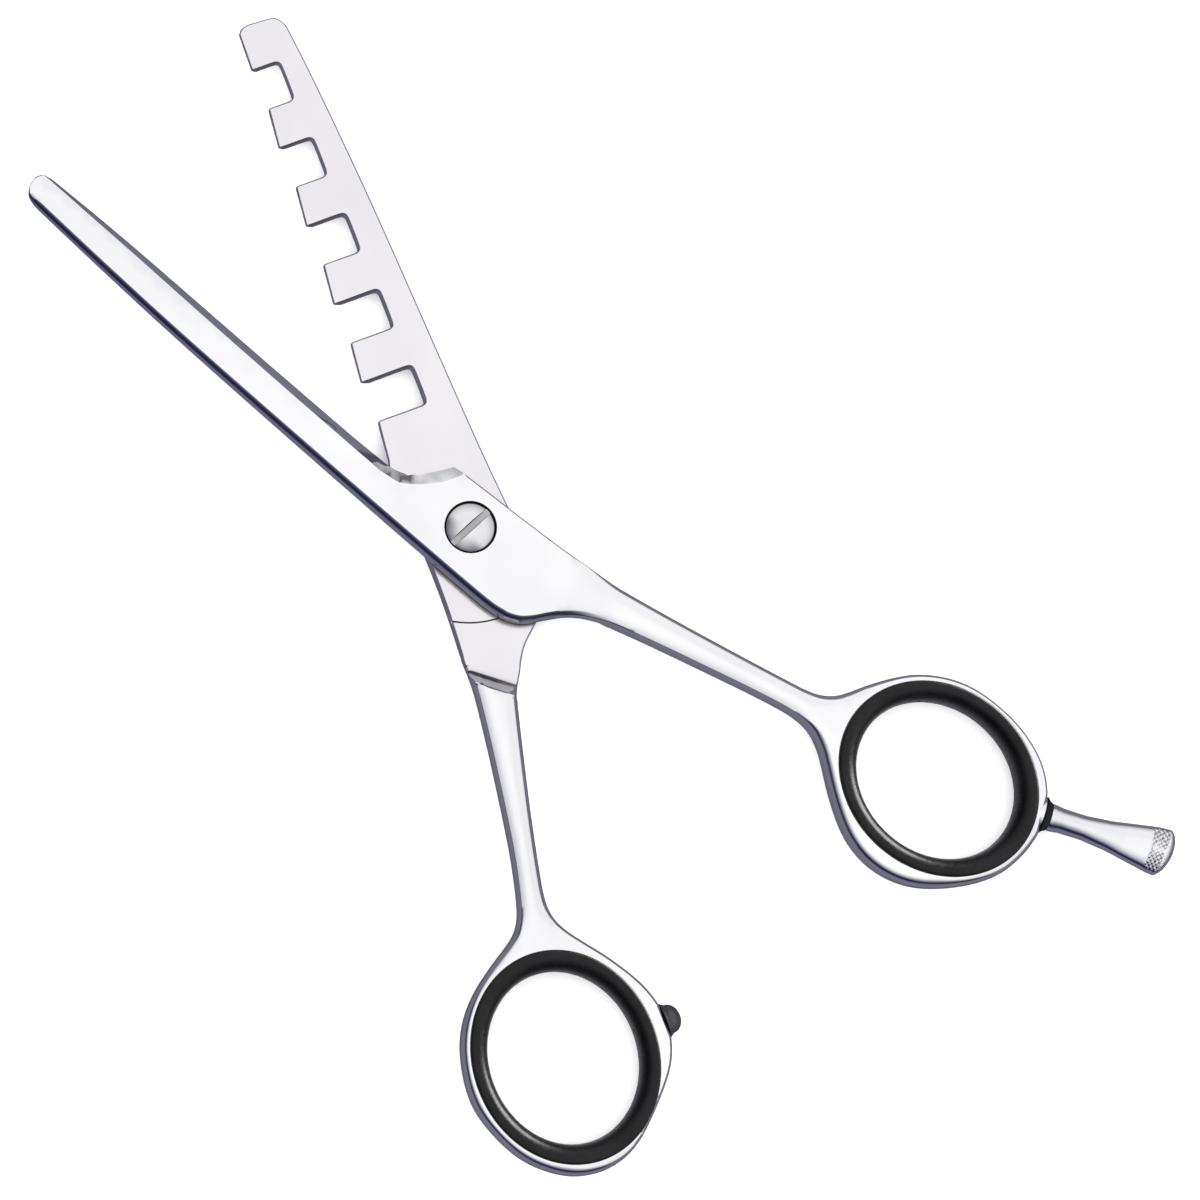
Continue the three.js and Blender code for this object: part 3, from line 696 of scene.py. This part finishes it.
# plain half, with the boss of the finger rest and the hole for its stud
finger_steel = finished(
    finger_half.build("finger", COUNTERBORE_R, PIVOT_HOLE_R, COUNTERBORE_FLOOR),
    "finger_half_steel", finger_half)
boss_end = -1.02
boss = lathe([(0, -2.2), (2.2, -2.2), (2.42, -1.5), (2.42, boss_end - 0.12), (2.3, boss_end),
              (0, boss_end)])
cut(finger_steel, finished(along_plan(boss, REST_SEAT, REST_ANGLE, finger_half), "boss"), "UNION")
hole = lathe([(0, -3.5), (1.08, -3.5), (1.08, 1), (0, 1)], 48)
cut(finger_steel, finished(along_plan(hole, REST_SEAT, REST_ANGLE, finger_half), "hole"))

# notched half, with the hole for the bumper's stem
thumb_steel = finished(
    thumb_half.build("thumb", NUT_POCKET_R, NUT_HOLE_R, NUT_POCKET_FLOOR),
    "thumb_half_steel", thumb_half)
hole = lathe([(0, -1.68), (0.88, -1.68), (0.88, 1), (0, 1)], 48)
cut(thumb_steel, finished(along_plan(hole, BUMPER_SEAT, -90, thumb_half), "hole"))

# pivot screw: shaft, shoulder and domed head with its slot
HEAD_R, HEAD_RIM_Z, HEAD_TOP_Z = 3.17, 2.78, 3.74
SLOT_FLOOR, SLOT_FLOOR_HALF, SLOT_ANGLE = 2.8, 0.4, 6.6
SLOT_TOP, SLOT_TOP_HALF = 5.4, 0.66     # the tapered cutter, well above the head
dome_r = (HEAD_R ** 2 + (HEAD_TOP_Z - HEAD_RIM_Z) ** 2) / (2 * (HEAD_TOP_Z - HEAD_RIM_Z))
dome = []
for r in np.linspace(HEAD_R - 0.1, 0, 26):
    dome.append((r, HEAD_TOP_Z - dome_r + math.sqrt(dome_r ** 2 - r ** 2)))
screw = finished(lifted(lathe(
    [(0, -3), (1.38, -3), (1.5, -2.88), (1.5, 0.1), (1.82, 0.1), (1.82, 1.85), (3.0, 1.85),
     (HEAD_R, 1.97), (HEAD_R, HEAD_RIM_Z - 0.1), (HEAD_R - 0.03, HEAD_RIM_Z - 0.02)] + dome)),
    "pivot_screw_head")
slot = bmesh.new()
profile = [(-SLOT_FLOOR_HALF, SLOT_FLOOR), (SLOT_FLOOR_HALF, SLOT_FLOOR),
           (SLOT_TOP_HALF, SLOT_TOP), (-SLOT_TOP_HALF, SLOT_TOP)]
ends = [[slot.verts.new((x, y, z + MEETING_PLANE)) for y, z in profile] for x in (-6, 6)]
slot.faces.new(ends[0])
slot.faces.new(ends[1][::-1])
bridge(slot, ends[0], ends[1], True)
bmesh.ops.recalc_face_normals(slot, faces=slot.faces)


def slotted(p):
    p[:, :2] = turn(p[:, :2], SLOT_ANGLE)
    return p


cut(screw, finished(moved(slot, slotted), "slot"))

nut = finished(lifted(lathe(
    [(1.58, 0.45), (2.5, 0.45), (2.6, 0.55), (2.6, 2.35), (3.22, 2.35), (3.3, 2.43), (3.3, 2.86),
     (3.21, 2.95), (1.7, 2.95), (1.58, 2.83)], closed=True), thumb_half), "pivot_nut_steel")
bush = finished(lifted(lathe(
    [(1.9, 0.15), (2.22, 0.15), (2.22, 1.28), (3.33, 1.28), (3.33, 2.84), (3.31, 2.88), (3.25, 2.88),
     (3.23, 2.84), (3.23, 1.5), (1.9, 1.5)], closed=True)), "pivot_bush_nylon")
spring = finished(lifted(lathe(
    [(2.0, 1.58), (2.04, 1.55), (2.91, 1.55), (2.95, 1.58), (2.95, 1.77), (2.91, 1.8), (2.04, 1.8),
     (2.0, 1.77)], closed=True)), "spring_washer_steel")


def insert(name, half, centre):
    """Rubber ring insert: grooved outside, softly rounded towards the finger."""
    soft = catmull(np.array([(0.3, 2.62), (0.24, 2.86), (0.02, 2.98), (-0.35, 3.0), (-0.95, 2.93),
                             (-1.5, 2.62), (-1.93, 2.0), (-2.14, 1.1), (-2.2, 0)]), 0.16)
    upper = [(-0.15, 2.45), (0.27, 2.45)] + [tuple(p) for p in soft]
    section_line = upper + [(o, -z) for o, z in upper[-2::-1]]
    mean = HOLE_SEMI.mean()

    def change(p):
        return p * [HOLE_SEMI[0] / mean, HOLE_SEMI[1] / mean, 1] + [*centre, 0]

    bm = moved(lathe([(mean + o, z) for o, z in section_line], 160, closed=True), change)
    return finished(lifted(bm, half), name)


finger_rubber = insert("finger_ring_rubber", finger_half, FINGER_RING)
thumb_rubber = insert("thumb_ring_rubber", thumb_half, THUMB_RING)


def rest_body():
    """Waisted finger rest: round at its foot, flattened towards a checkered pad at its end."""
    length, around = 16.6, 176
    pad_start, pad_end, cap_start = 13.3, 15.5, 15.4
    pitch, relief = 0.62, 0.2
    neck = np.linspace(0, pad_start - 0.1, 54)
    pad_rows = np.arange(pad_start, pad_end + 0.1, 0.09)
    cap = length - (length - pad_end - 0.15) * (1 - np.linspace(0, 1, 9)[1:]) ** 2
    stations = np.concatenate([neck, pad_rows, cap])
    bm = bmesh.new()
    rings = []
    a = np.arange(around) * 2 * math.pi / around
    for u in stations:
        wide = np.interp(u, [0, 0.25, 1.6, 4.5, 8, 11, 14, 15.3, 16],
                         [1.72, 1.8, 1.62, 1.6, 1.95, 2.5, 3.05, 3.15, 2.9])
        thick = np.interp(u, [0, 0.25, 2, 4, 10, 14, 15.6, 16],
                          [1.72, 1.8, 1.68, 1.6, 1.45, 1.72, 1.8, 1.7])
        end = max(u - cap_start, 0) / (length - cap_start)
        shrink = math.sqrt(max(1 - end ** 2, 0.02))
        power = 2 / np.interp(u, [0, 5, 12, 16], [2, 2.15, 2.6, 2.8])
        x = wide * shrink * np.sign(np.cos(a)) * np.abs(np.cos(a)) ** power
        y = thick * (0.35 + 0.65 * shrink) * np.sign(np.sin(a)) * np.abs(np.sin(a)) ** power
        # checkering: rows of small pyramids cut by two sets of slanting grooves
        pad = smoothstep(pad_start, pad_start + 0.15, u) * (1 - smoothstep(pad_end - 0.15, pad_end, u))
        groove = np.minimum(np.abs(((x + u) / pitch) % 1 - 0.5), np.abs(((x - u) / pitch) % 1 - 0.5))
        raised = (groove * 2 - 0.5) * relief * pad * smoothstep(0.3, 0.8, np.abs(np.sin(a)))
        y = y + np.sign(y) * raised
        # the end is cut at a slant
        slant = u + 0.12 * x * smoothstep(13, 16, u)
        rings.append([bm.verts.new((px, py, s)) for px, py, s in zip(x, y, slant)])
    for low, high in zip(rings, rings[1:]):
        bridge(bm, low, high, True)
    bm.faces.new(rings[0][::-1])
    bm.faces.new(rings[-1])
    return bm


rest = finished(along_plan(rest_body(), REST_SEAT, REST_ANGLE, finger_half),
                "finger_rest_steel", sharp=40)
stud = lathe([(0, -2.3), (0.85, -2.3), (1.0, -2.15), (1.0, 0.6), (0, 0.6)], 48)
cut(rest, finished(along_plan(stud, REST_SEAT, REST_ANGLE, finger_half), "stud"), "UNION")
rest_washer = finished(along_plan(lathe(
    [(1.08, -0.96), (2.3, -0.96), (2.42, -0.9), (2.36, -0.78), (2.12, -0.6), (1.94, -0.35),
     (1.86, -0.12), (1.78, -0.06), (1.08, -0.06)], closed=True), REST_SEAT, REST_ANGLE,
    finger_half), "finger_rest_collar", sharp=50)

bumper_profile = [(0, -1.6), (0.7, -1.6), (0.8, -1.5), (0.8, 0.02), (2.2, 0.02), (2.22, 0.14),
                  (2.05, 0.36), (1.9, 0.62)]
bumper_profile += arc((0, 0.72), (1.86, 1.43), 0, 90, 16)
bumper_profile[-1] = (0, bumper_profile[-1][1])
bumper = finished(along_plan(lathe(bumper_profile), BUMPER_SEAT, -90, thumb_half),
                  "stop_bumper_rubber", sharp=50)

for piece, body, name, node in (
    (finger_steel, "finger_body", "polished_steel", "finger_half"),
    (thumb_steel, "thumb_body", "polished_steel", "thumb_half"),
    (screw, "screw_body", "screw_steel", "pivot_screw"),
    (nut, "thumb_body", "screw_steel", "pivot_nut"),
    (bush, "finger_body", "black_nylon", "pivot_bush"),
    (spring, "finger_body", "spring_steel", "spring_washer"),
    (finger_rubber, "finger_body", "insert_rubber", "finger_ring_insert"),
    (thumb_rubber, "thumb_body", "insert_rubber", "thumb_ring_insert"),
    (rest, "rest_body", "polished_steel", "finger_rest"),
    (rest_washer, "rest_washer_body", "washer_rubber", "finger_rest_washer"),
    (bumper, "thumb_body", "bumper_rubber", "stop_bumper"),
):
    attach(piece, body)
    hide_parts(node)


# ---- materials ---------------------------------------------------------------------------

def shader(name):
    mat = bpy.data.materials.new(name)
    mat.use_nodes = True
    return mat, mat.node_tree, mat.node_tree.nodes["Principled BSDF"]


def grain(tree, scale, size=1.0, angle=0.0, detail=3.0):
    """Noise stretched by a scale along each axis, in 1/m, after a turn about Z."""
    coords = tree.nodes.new("ShaderNodeTexCoord")
    spin = tree.nodes.new("ShaderNodeMapping")
    spin.inputs["Rotation"].default_value = (0, 0, math.radians(-angle))
    stretch = tree.nodes.new("ShaderNodeMapping")
    stretch.inputs["Scale"].default_value = scale
    noise = tree.nodes.new("ShaderNodeTexNoise")
    noise.inputs["Scale"].default_value = size
    noise.inputs["Detail"].default_value = detail
    tree.links.new(coords.outputs["Object"], spin.inputs["Vector"])
    tree.links.new(spin.outputs["Vector"], stretch.inputs["Vector"])
    tree.links.new(stretch.outputs["Vector"], noise.inputs["Vector"])
    return noise.outputs["Fac"]


def spread(tree, value, low, high, start=0.3, end=0.7):
    node = tree.nodes.new("ShaderNodeMapRange")
    node.inputs["From Min"].default_value = start
    node.inputs["From Max"].default_value = end
    node.inputs["To Min"].default_value = low
    node.inputs["To Max"].default_value = high
    tree.links.new(value, node.inputs["Value"])
    return node.outputs["Result"]


def bump(tree, bsdf, value, strength, height, before=None):
    node = tree.nodes.new("ShaderNodeBump")
    node.inputs["Strength"].default_value = strength
    node.inputs["Distance"].default_value = height
    tree.links.new(value, node.inputs["Height"])
    if before is not None:
        tree.links.new(before, node.inputs["Normal"])
    tree.links.new(node.outputs["Normal"], bsdf.inputs["Normal"])
    return node.outputs["Normal"]


def tint(tree, bsdf, value, dark, light):
    ramp = tree.nodes.new("ShaderNodeValToRGB")
    ramp.color_ramp.elements[0].position = 0.3
    ramp.color_ramp.elements[1].position = 0.7
    ramp.color_ramp.elements[0].color = (*dark, 1)
    ramp.color_ramp.elements[1].color = (*light, 1)
    tree.links.new(value, ramp.inputs["Fac"])
    tree.links.new(ramp.outputs["Color"], bsdf.inputs["Base Color"])


def steel(name, angle, dark, light, rough, across, brush, wave):
    """Ground and polished steel, its grain along the piece."""
    mat, tree, bsdf = shader(name)
    bsdf.inputs["Metallic"].default_value = 1.0
    lines = grain(tree, (across, across / 45, across), 1.0, angle)
    cloud = grain(tree, (90, 45, 90), 1.0, angle, 4.0)
    tint(tree, bsdf, cloud, dark, light)
    total = tree.nodes.new("ShaderNodeMath")
    total.operation = "ADD"
    tree.links.new(spread(tree, lines, rough[0] / 2, rough[1] / 2), total.inputs[0])
    tree.links.new(spread(tree, cloud, rough[0] / 2, rough[1] / 2), total.inputs[1])
    tree.links.new(total.outputs["Value"], bsdf.inputs["Roughness"])
    slow = bump(tree, bsdf, grain(tree, (150, 40, 150), 1.0, angle, 1.0), wave, 0.00005)
    bump(tree, bsdf, lines, brush, 0.00002, slow)
    return mat


def rubber(name, dark, light, rough, pore, strength, gloss, sheen=0.0):
    mat, tree, bsdf = shader(name)
    cloud = grain(tree, (160, 160, 160), 1.0, 0, 4.0)
    tint(tree, bsdf, cloud, dark, light)
    fine = grain(tree, (pore, pore, pore), 1.0, 0, 2.0)
    tree.links.new(spread(tree, fine, *rough), bsdf.inputs["Roughness"])
    bsdf.inputs["Specular IOR Level"].default_value = gloss
    bsdf.inputs["Sheen Weight"].default_value = sheen
    bsdf.inputs["Sheen Roughness"].default_value = 0.35
    bump(tree, bsdf, fine, strength, 0.00003)
    return mat


def dress(obj, *mats):
    obj.data.materials.clear()
    for mat in mats:
        obj.data.materials.append(mat)


def finish_faces(obj, slot, chosen):
    """Gives the faces whose centre and normal pass a test the material of a slot."""
    for face in obj.data.polygons:
        if chosen(np.array(face.center) / MM, face.normal):
            face.material_index = slot


# Painted shade: a dark, noisy metal laid on the faces of the ride's curved step and on the walls of the
# screw's slot, standing in for the shade that falls there.
recess_shade, tree, bsdf = shader("painted_recess_shade")
bsdf.inputs["Metallic"].default_value = 0.6
tint(tree, bsdf, grain(tree, (900, 900, 900)), (0.03, 0.03, 0.03), (0.08, 0.08, 0.08))
bsdf.inputs["Roughness"].default_value = 0.5

HALF_ANGLE = OPEN_ANGLE / 2
dress(finger_steel, steel("polished_steel_plain_half", HALF_ANGLE, (0.86, 0.86, 0.89), (0.95, 0.95, 0.96),
                          (0.06, 0.12), 3200, 0.06, 0.5))
dress(thumb_steel,
      steel("satin_steel_notched_half", -HALF_ANGLE, (0.80, 0.78, 0.82), (0.86, 0.84, 0.87),
            (0.12, 0.22), 3600, 0.10, 0.3),
      steel("polished_steel_notched_half", -HALF_ANGLE, (0.86, 0.86, 0.88), (0.95, 0.95, 0.96),
            (0.06, 0.12), 3200, 0.06, 0.5),
      recess_shade)
# the faces of the ride's curved step take the painted shade
finish_faces(thumb_steel, 2, lambda p, n: abs(math.hypot(p[0], p[1]) - RIDE_RADIUS) < 1.1 * RIDE_STEP
              and p[1] < -5 and 0.2 < n[2] < 0.97)
finish_faces(thumb_steel, 1, lambda p, n: thumb_half.past_step(thumb_half.local(p[None, :2]))[0] > 0)
dress(rest, steel("polished_steel_rest", HALF_ANGLE + REST_ANGLE, (0.84, 0.84, 0.88), (0.95, 0.95, 0.96),
                  (0.06, 0.12), 3600, 0.12, 0.5))
screw_steel = steel("screw_steel", 30, (0.78, 0.78, 0.79), (0.92, 0.92, 0.93),
                    (0.08, 0.18), 3000, 0.08, 0.3)
slot_satin = steel("slot_satin", 30, (0.42, 0.42, 0.43), (0.56, 0.56, 0.57),
                   (0.3, 0.45), 3000, 0.3, 0.3)
dress(screw, screw_steel, recess_shade, slot_satin)


def in_slot(p):
    return p[2] > MEETING_PLANE + SLOT_FLOOR - 0.1 and math.hypot(p[0], p[1]) < HEAD_R - 0.1


# the walls of the slot take the painted shade
finish_faces(screw, 1, lambda p, n: abs(n[2]) < 0.3 and in_slot(p))
finish_faces(screw, 2, lambda p, n: n[2] > 0.9 and in_slot(p) and p[2] < MEETING_PLANE + SLOT_FLOOR + 0.1)
dress(nut, screw_steel)
dress(spring, steel("spring_steel", 0, (0.36, 0.36, 0.38), (0.48, 0.48, 0.5),
                    (0.25, 0.4), 2500, 0.1, 0.2))
dress(bush, rubber("black_nylon", (0.004, 0.004, 0.004), (0.007, 0.007, 0.008),
                   (0.4, 0.6), 2200, 0.1, 0.1))
insert_rubber = rubber("insert_rubber", (0.0010, 0.0010, 0.0013), (0.0034, 0.0034, 0.0040),
                       (0.24, 0.38), 1800, 0.2, 0.22, 0.14)
dress(finger_rubber, insert_rubber)
dress(thumb_rubber, insert_rubber)
dress(rest_washer, rubber("washer_rubber", (0.004, 0.004, 0.005), (0.016, 0.016, 0.018),
                         (0.4, 0.7), 2600, 0.8, 0.2))
dress(bumper, rubber("bumper_rubber", (0.018, 0.018, 0.021), (0.030, 0.031, 0.036),
                    (0.22, 0.32), 1500, 0.1, 0.6))


# ---- floor, light and camera -------------------------------------------------------------

scene = bpy.context.scene
scene.view_settings.view_transform = "Standard"

floor_mesh = bmesh.new()
bmesh.ops.create_grid(floor_mesh, x_segments=8, y_segments=8, size=3.0)
floor_data = bpy.data.meshes.new("floor")
floor_mesh.to_mesh(floor_data)
floor_mesh.free()
floor = bpy.data.objects.new("floor", floor_data)
floor.location.z = -0.4 * MM
scene.collection.objects.link(floor)

floor_mat, tree, bsdf = shader("pale_floor")
bsdf.inputs["Base Color"].default_value = (0.95, 0.95, 0.955, 1)
bsdf.inputs["Roughness"].default_value = 0.9
bsdf.inputs["Specular IOR Level"].default_value = 0.0
floor.data.materials.append(floor_mat)
floor.visible_glossy = False

# The studio that the steel mirrors: white overhead, a dark flag along the left, and below the
# horizon the slate of the table. The camera sees plain white and the floor an even light.
world = bpy.data.worlds.new("studio")
scene.world = world
world.use_nodes = True
tree = world.node_tree
tree.nodes.clear()


def sky_math(operation, *values):
    node = tree.nodes.new("ShaderNodeMath")
    node.operation = operation
    for socket, value in zip(node.inputs, values):
        if isinstance(value, (int, float)):
            socket.default_value = value
        else:
            tree.links.new(value, socket)
    return node.outputs["Value"]


def sky_mix(factor, a, b):
    node = tree.nodes.new("ShaderNodeMix")
    node.data_type = "RGBA"
    tree.links.new(factor, node.inputs["Factor"])
    for socket, value in ((node.inputs[6], a), (node.inputs[7], b)):
        if isinstance(value, tuple):
            socket.default_value = (*value, 1)
        else:
            tree.links.new(value, socket)
    return node.outputs[2]


def sky_step(value, start, end):
    node = tree.nodes.new("ShaderNodeMapRange")
    node.interpolation_type = "SMOOTHSTEP"
    node.inputs["From Min"].default_value = start
    node.inputs["From Max"].default_value = end
    tree.links.new(value, node.inputs["Value"])
    return node.outputs["Result"]


def sky_ramp(value, stops):
    """Colours by a value from -1 to 1."""
    node = tree.nodes.new("ShaderNodeValToRGB")
    ramp = node.color_ramp
    while len(ramp.elements) < len(stops):
        ramp.elements.new(0.5)
    for element, (at, colour) in zip(ramp.elements, stops):
        element.position = (at + 1) / 2
        element.color = (*colour, 1)
    tree.links.new(sky_math("MULTIPLY_ADD", value, 0.5, 0.5), node.inputs["Fac"])
    return node.outputs["Color"]


# Colours by height, from straight below to straight above.
FLAG_STOPS = [(-1, (0.155, 0.155, 0.195)), (-0.5, (0.18, 0.18, 0.235)), (-0.12, (0.16, 0.16, 0.225)),
              (-0.02, (0.05, 0.05, 0.11)), (0.1, (0.012, 0.014, 0.045)), (0.38, (0.02, 0.025, 0.07)),
              (0.6, (0.24, 0.24, 0.28)), (0.85, (0.70, 0.70, 0.73)), (1, (1.08, 1.08, 1.08))]
LEFT_STOPS = [(-1, (0.155, 0.155, 0.195)), (-0.5, (0.18, 0.18, 0.235)), (-0.1, (0.15, 0.15, 0.205)),
              (0.1, (0.02, 0.02, 0.05)), (0.35, (0.04, 0.04, 0.07)), (0.55, (0.18, 0.18, 0.21)),
              (0.75, (0.45, 0.45, 0.48)), (0.9, (0.80, 0.80, 0.82)), (1, (1.08, 1.08, 1.08))]
RIGHT_STOPS = [(-1, (0.10, 0.10, 0.12)), (-0.65, (0.17, 0.17, 0.215)), (-0.4, (0.19, 0.19, 0.245)),
               (-0.15, (0.195, 0.195, 0.22)), (0.03, (0.11, 0.11, 0.13)), (0.2, (0.36, 0.36, 0.38)),
               (0.45, (0.70, 0.70, 0.71)), (0.7, (0.96, 0.96, 0.97)), (0.92, (0.95, 0.95, 0.96)),
               (0.985, (1.05, 1.05, 1.05)), (1, (1.08, 1.08, 1.08))]


def sky_towards(x, y, z):
    """How nearly a direction points to a given one."""
    parts = [sky_math("MULTIPLY", split.outputs[axis], value) for axis, value in zip("XYZ", (x, y, z))]
    return sky_math("ADD", sky_math("ADD", parts[0], parts[1]), parts[2])


coords = tree.nodes.new("ShaderNodeTexCoord")
split = tree.nodes.new("ShaderNodeSeparateXYZ")
tree.links.new(coords.outputs["Generated"], split.inputs["Vector"])
flat_length = sky_math("SQRT", sky_math("SUBTRACT", 1.0001, sky_math("POWER", split.outputs["Z"], 2.0)))
mirrored = sky_mix(sky_step(sky_towards(-0.989, -0.150, 0), -0.1, 0.35),
                   sky_ramp(split.outputs["Z"], RIGHT_STOPS), sky_ramp(split.outputs["Z"], LEFT_STOPS))
flag = sky_step(sky_math("DIVIDE", sky_towards(-0.906, -0.423, 0), flat_length), 0.80, 0.94)
mirrored = sky_mix(flag, mirrored, sky_ramp(split.outputs["Z"], FLAG_STOPS))
seen = tree.nodes.new("ShaderNodeLightPath")
# what steel mirrors in steel is dimmer, most of all in the gaps that look straight up
again = sky_math("GREATER_THAN", seen.outputs["Glossy Depth"], 1.5)
loss = sky_math("MULTIPLY_ADD", sky_step(split.outputs["Z"], 0.7, 0.92), 0.42, 0.38)
kept = sky_math("SUBTRACT", 1.0, sky_math("MULTIPLY", again, loss))
mirrored = sky_mix(kept, (0.0, 0.0, 0.0), mirrored)
lit = sky_mix(seen.outputs["Is Diffuse Ray"], mirrored, (2.3, 2.3, 2.32))
colour = sky_mix(seen.outputs["Is Camera Ray"], lit, (0.97, 0.97, 0.98))
background = tree.nodes.new("ShaderNodeBackground")
out = tree.nodes.new("ShaderNodeOutputWorld")
tree.links.new(colour, background.inputs["Color"])
tree.links.new(background.outputs["Background"], out.inputs["Surface"])


def softbox(name, place, target, size, power):
    light = bpy.data.lights.new(name, "AREA")
    light.shape = "DISK"
    light.size = size
    light.energy = power
    obj = bpy.data.objects.new(name, light)
    obj.location = place
    obj.rotation_mode = "QUATERNION"
    obj.rotation_quaternion = (Vector(target) - Vector(place)).to_track_quat("-Z", "Y")
    obj.visible_glossy = False
    scene.collection.objects.link(obj)
    return obj


softbox("softbox_top", (0.1, 0.1, 1.1), (0, 0, 0), 1.0, 1.5)
# a low light from the right, for the rubber only, that draws the lip of each insert
strip = softbox("strip_right", (0.55, -0.07, 0.16), (0.01, -0.065, 0.006), 0.5, 15.0)
strip.visible_glossy = True
lit_rubber = bpy.data.collections.new("lit_rubber")
for obj in (finger_rubber, thumb_rubber):
    lit_rubber.objects.link(obj)
strip.light_linking.receiver_collection = lit_rubber

# the camera looks down from 11 degrees off the pivot axis
CAMERA_DISTANCE = 0.65        # metres
target = Vector((0.00851927, -0.01696216, MEETING_PLANE * MM))
towards = Vector((-0.18866, -0.02853, 0.98163)).normalized()
upward = Vector((0.59342, 0.80489, 0.0))
upward = (upward - upward.dot(towards) * towards).normalized()
camera_data = bpy.data.cameras.new("camera")
camera_data.lens = 153.18
camera_data.sensor_width = 36
camera_data.clip_start = 0.02
camera = bpy.data.objects.new("camera", camera_data)
right = upward.cross(towards)
place = target + towards * CAMERA_DISTANCE
camera.matrix_world = Matrix((
    (right.x, upward.x, towards.x, place.x),
    (right.y, upward.y, towards.y, place.y),
    (right.z, upward.z, towards.z, place.z),
    (0, 0, 0, 1)))
scene.collection.objects.link(camera)
scene.camera = camera
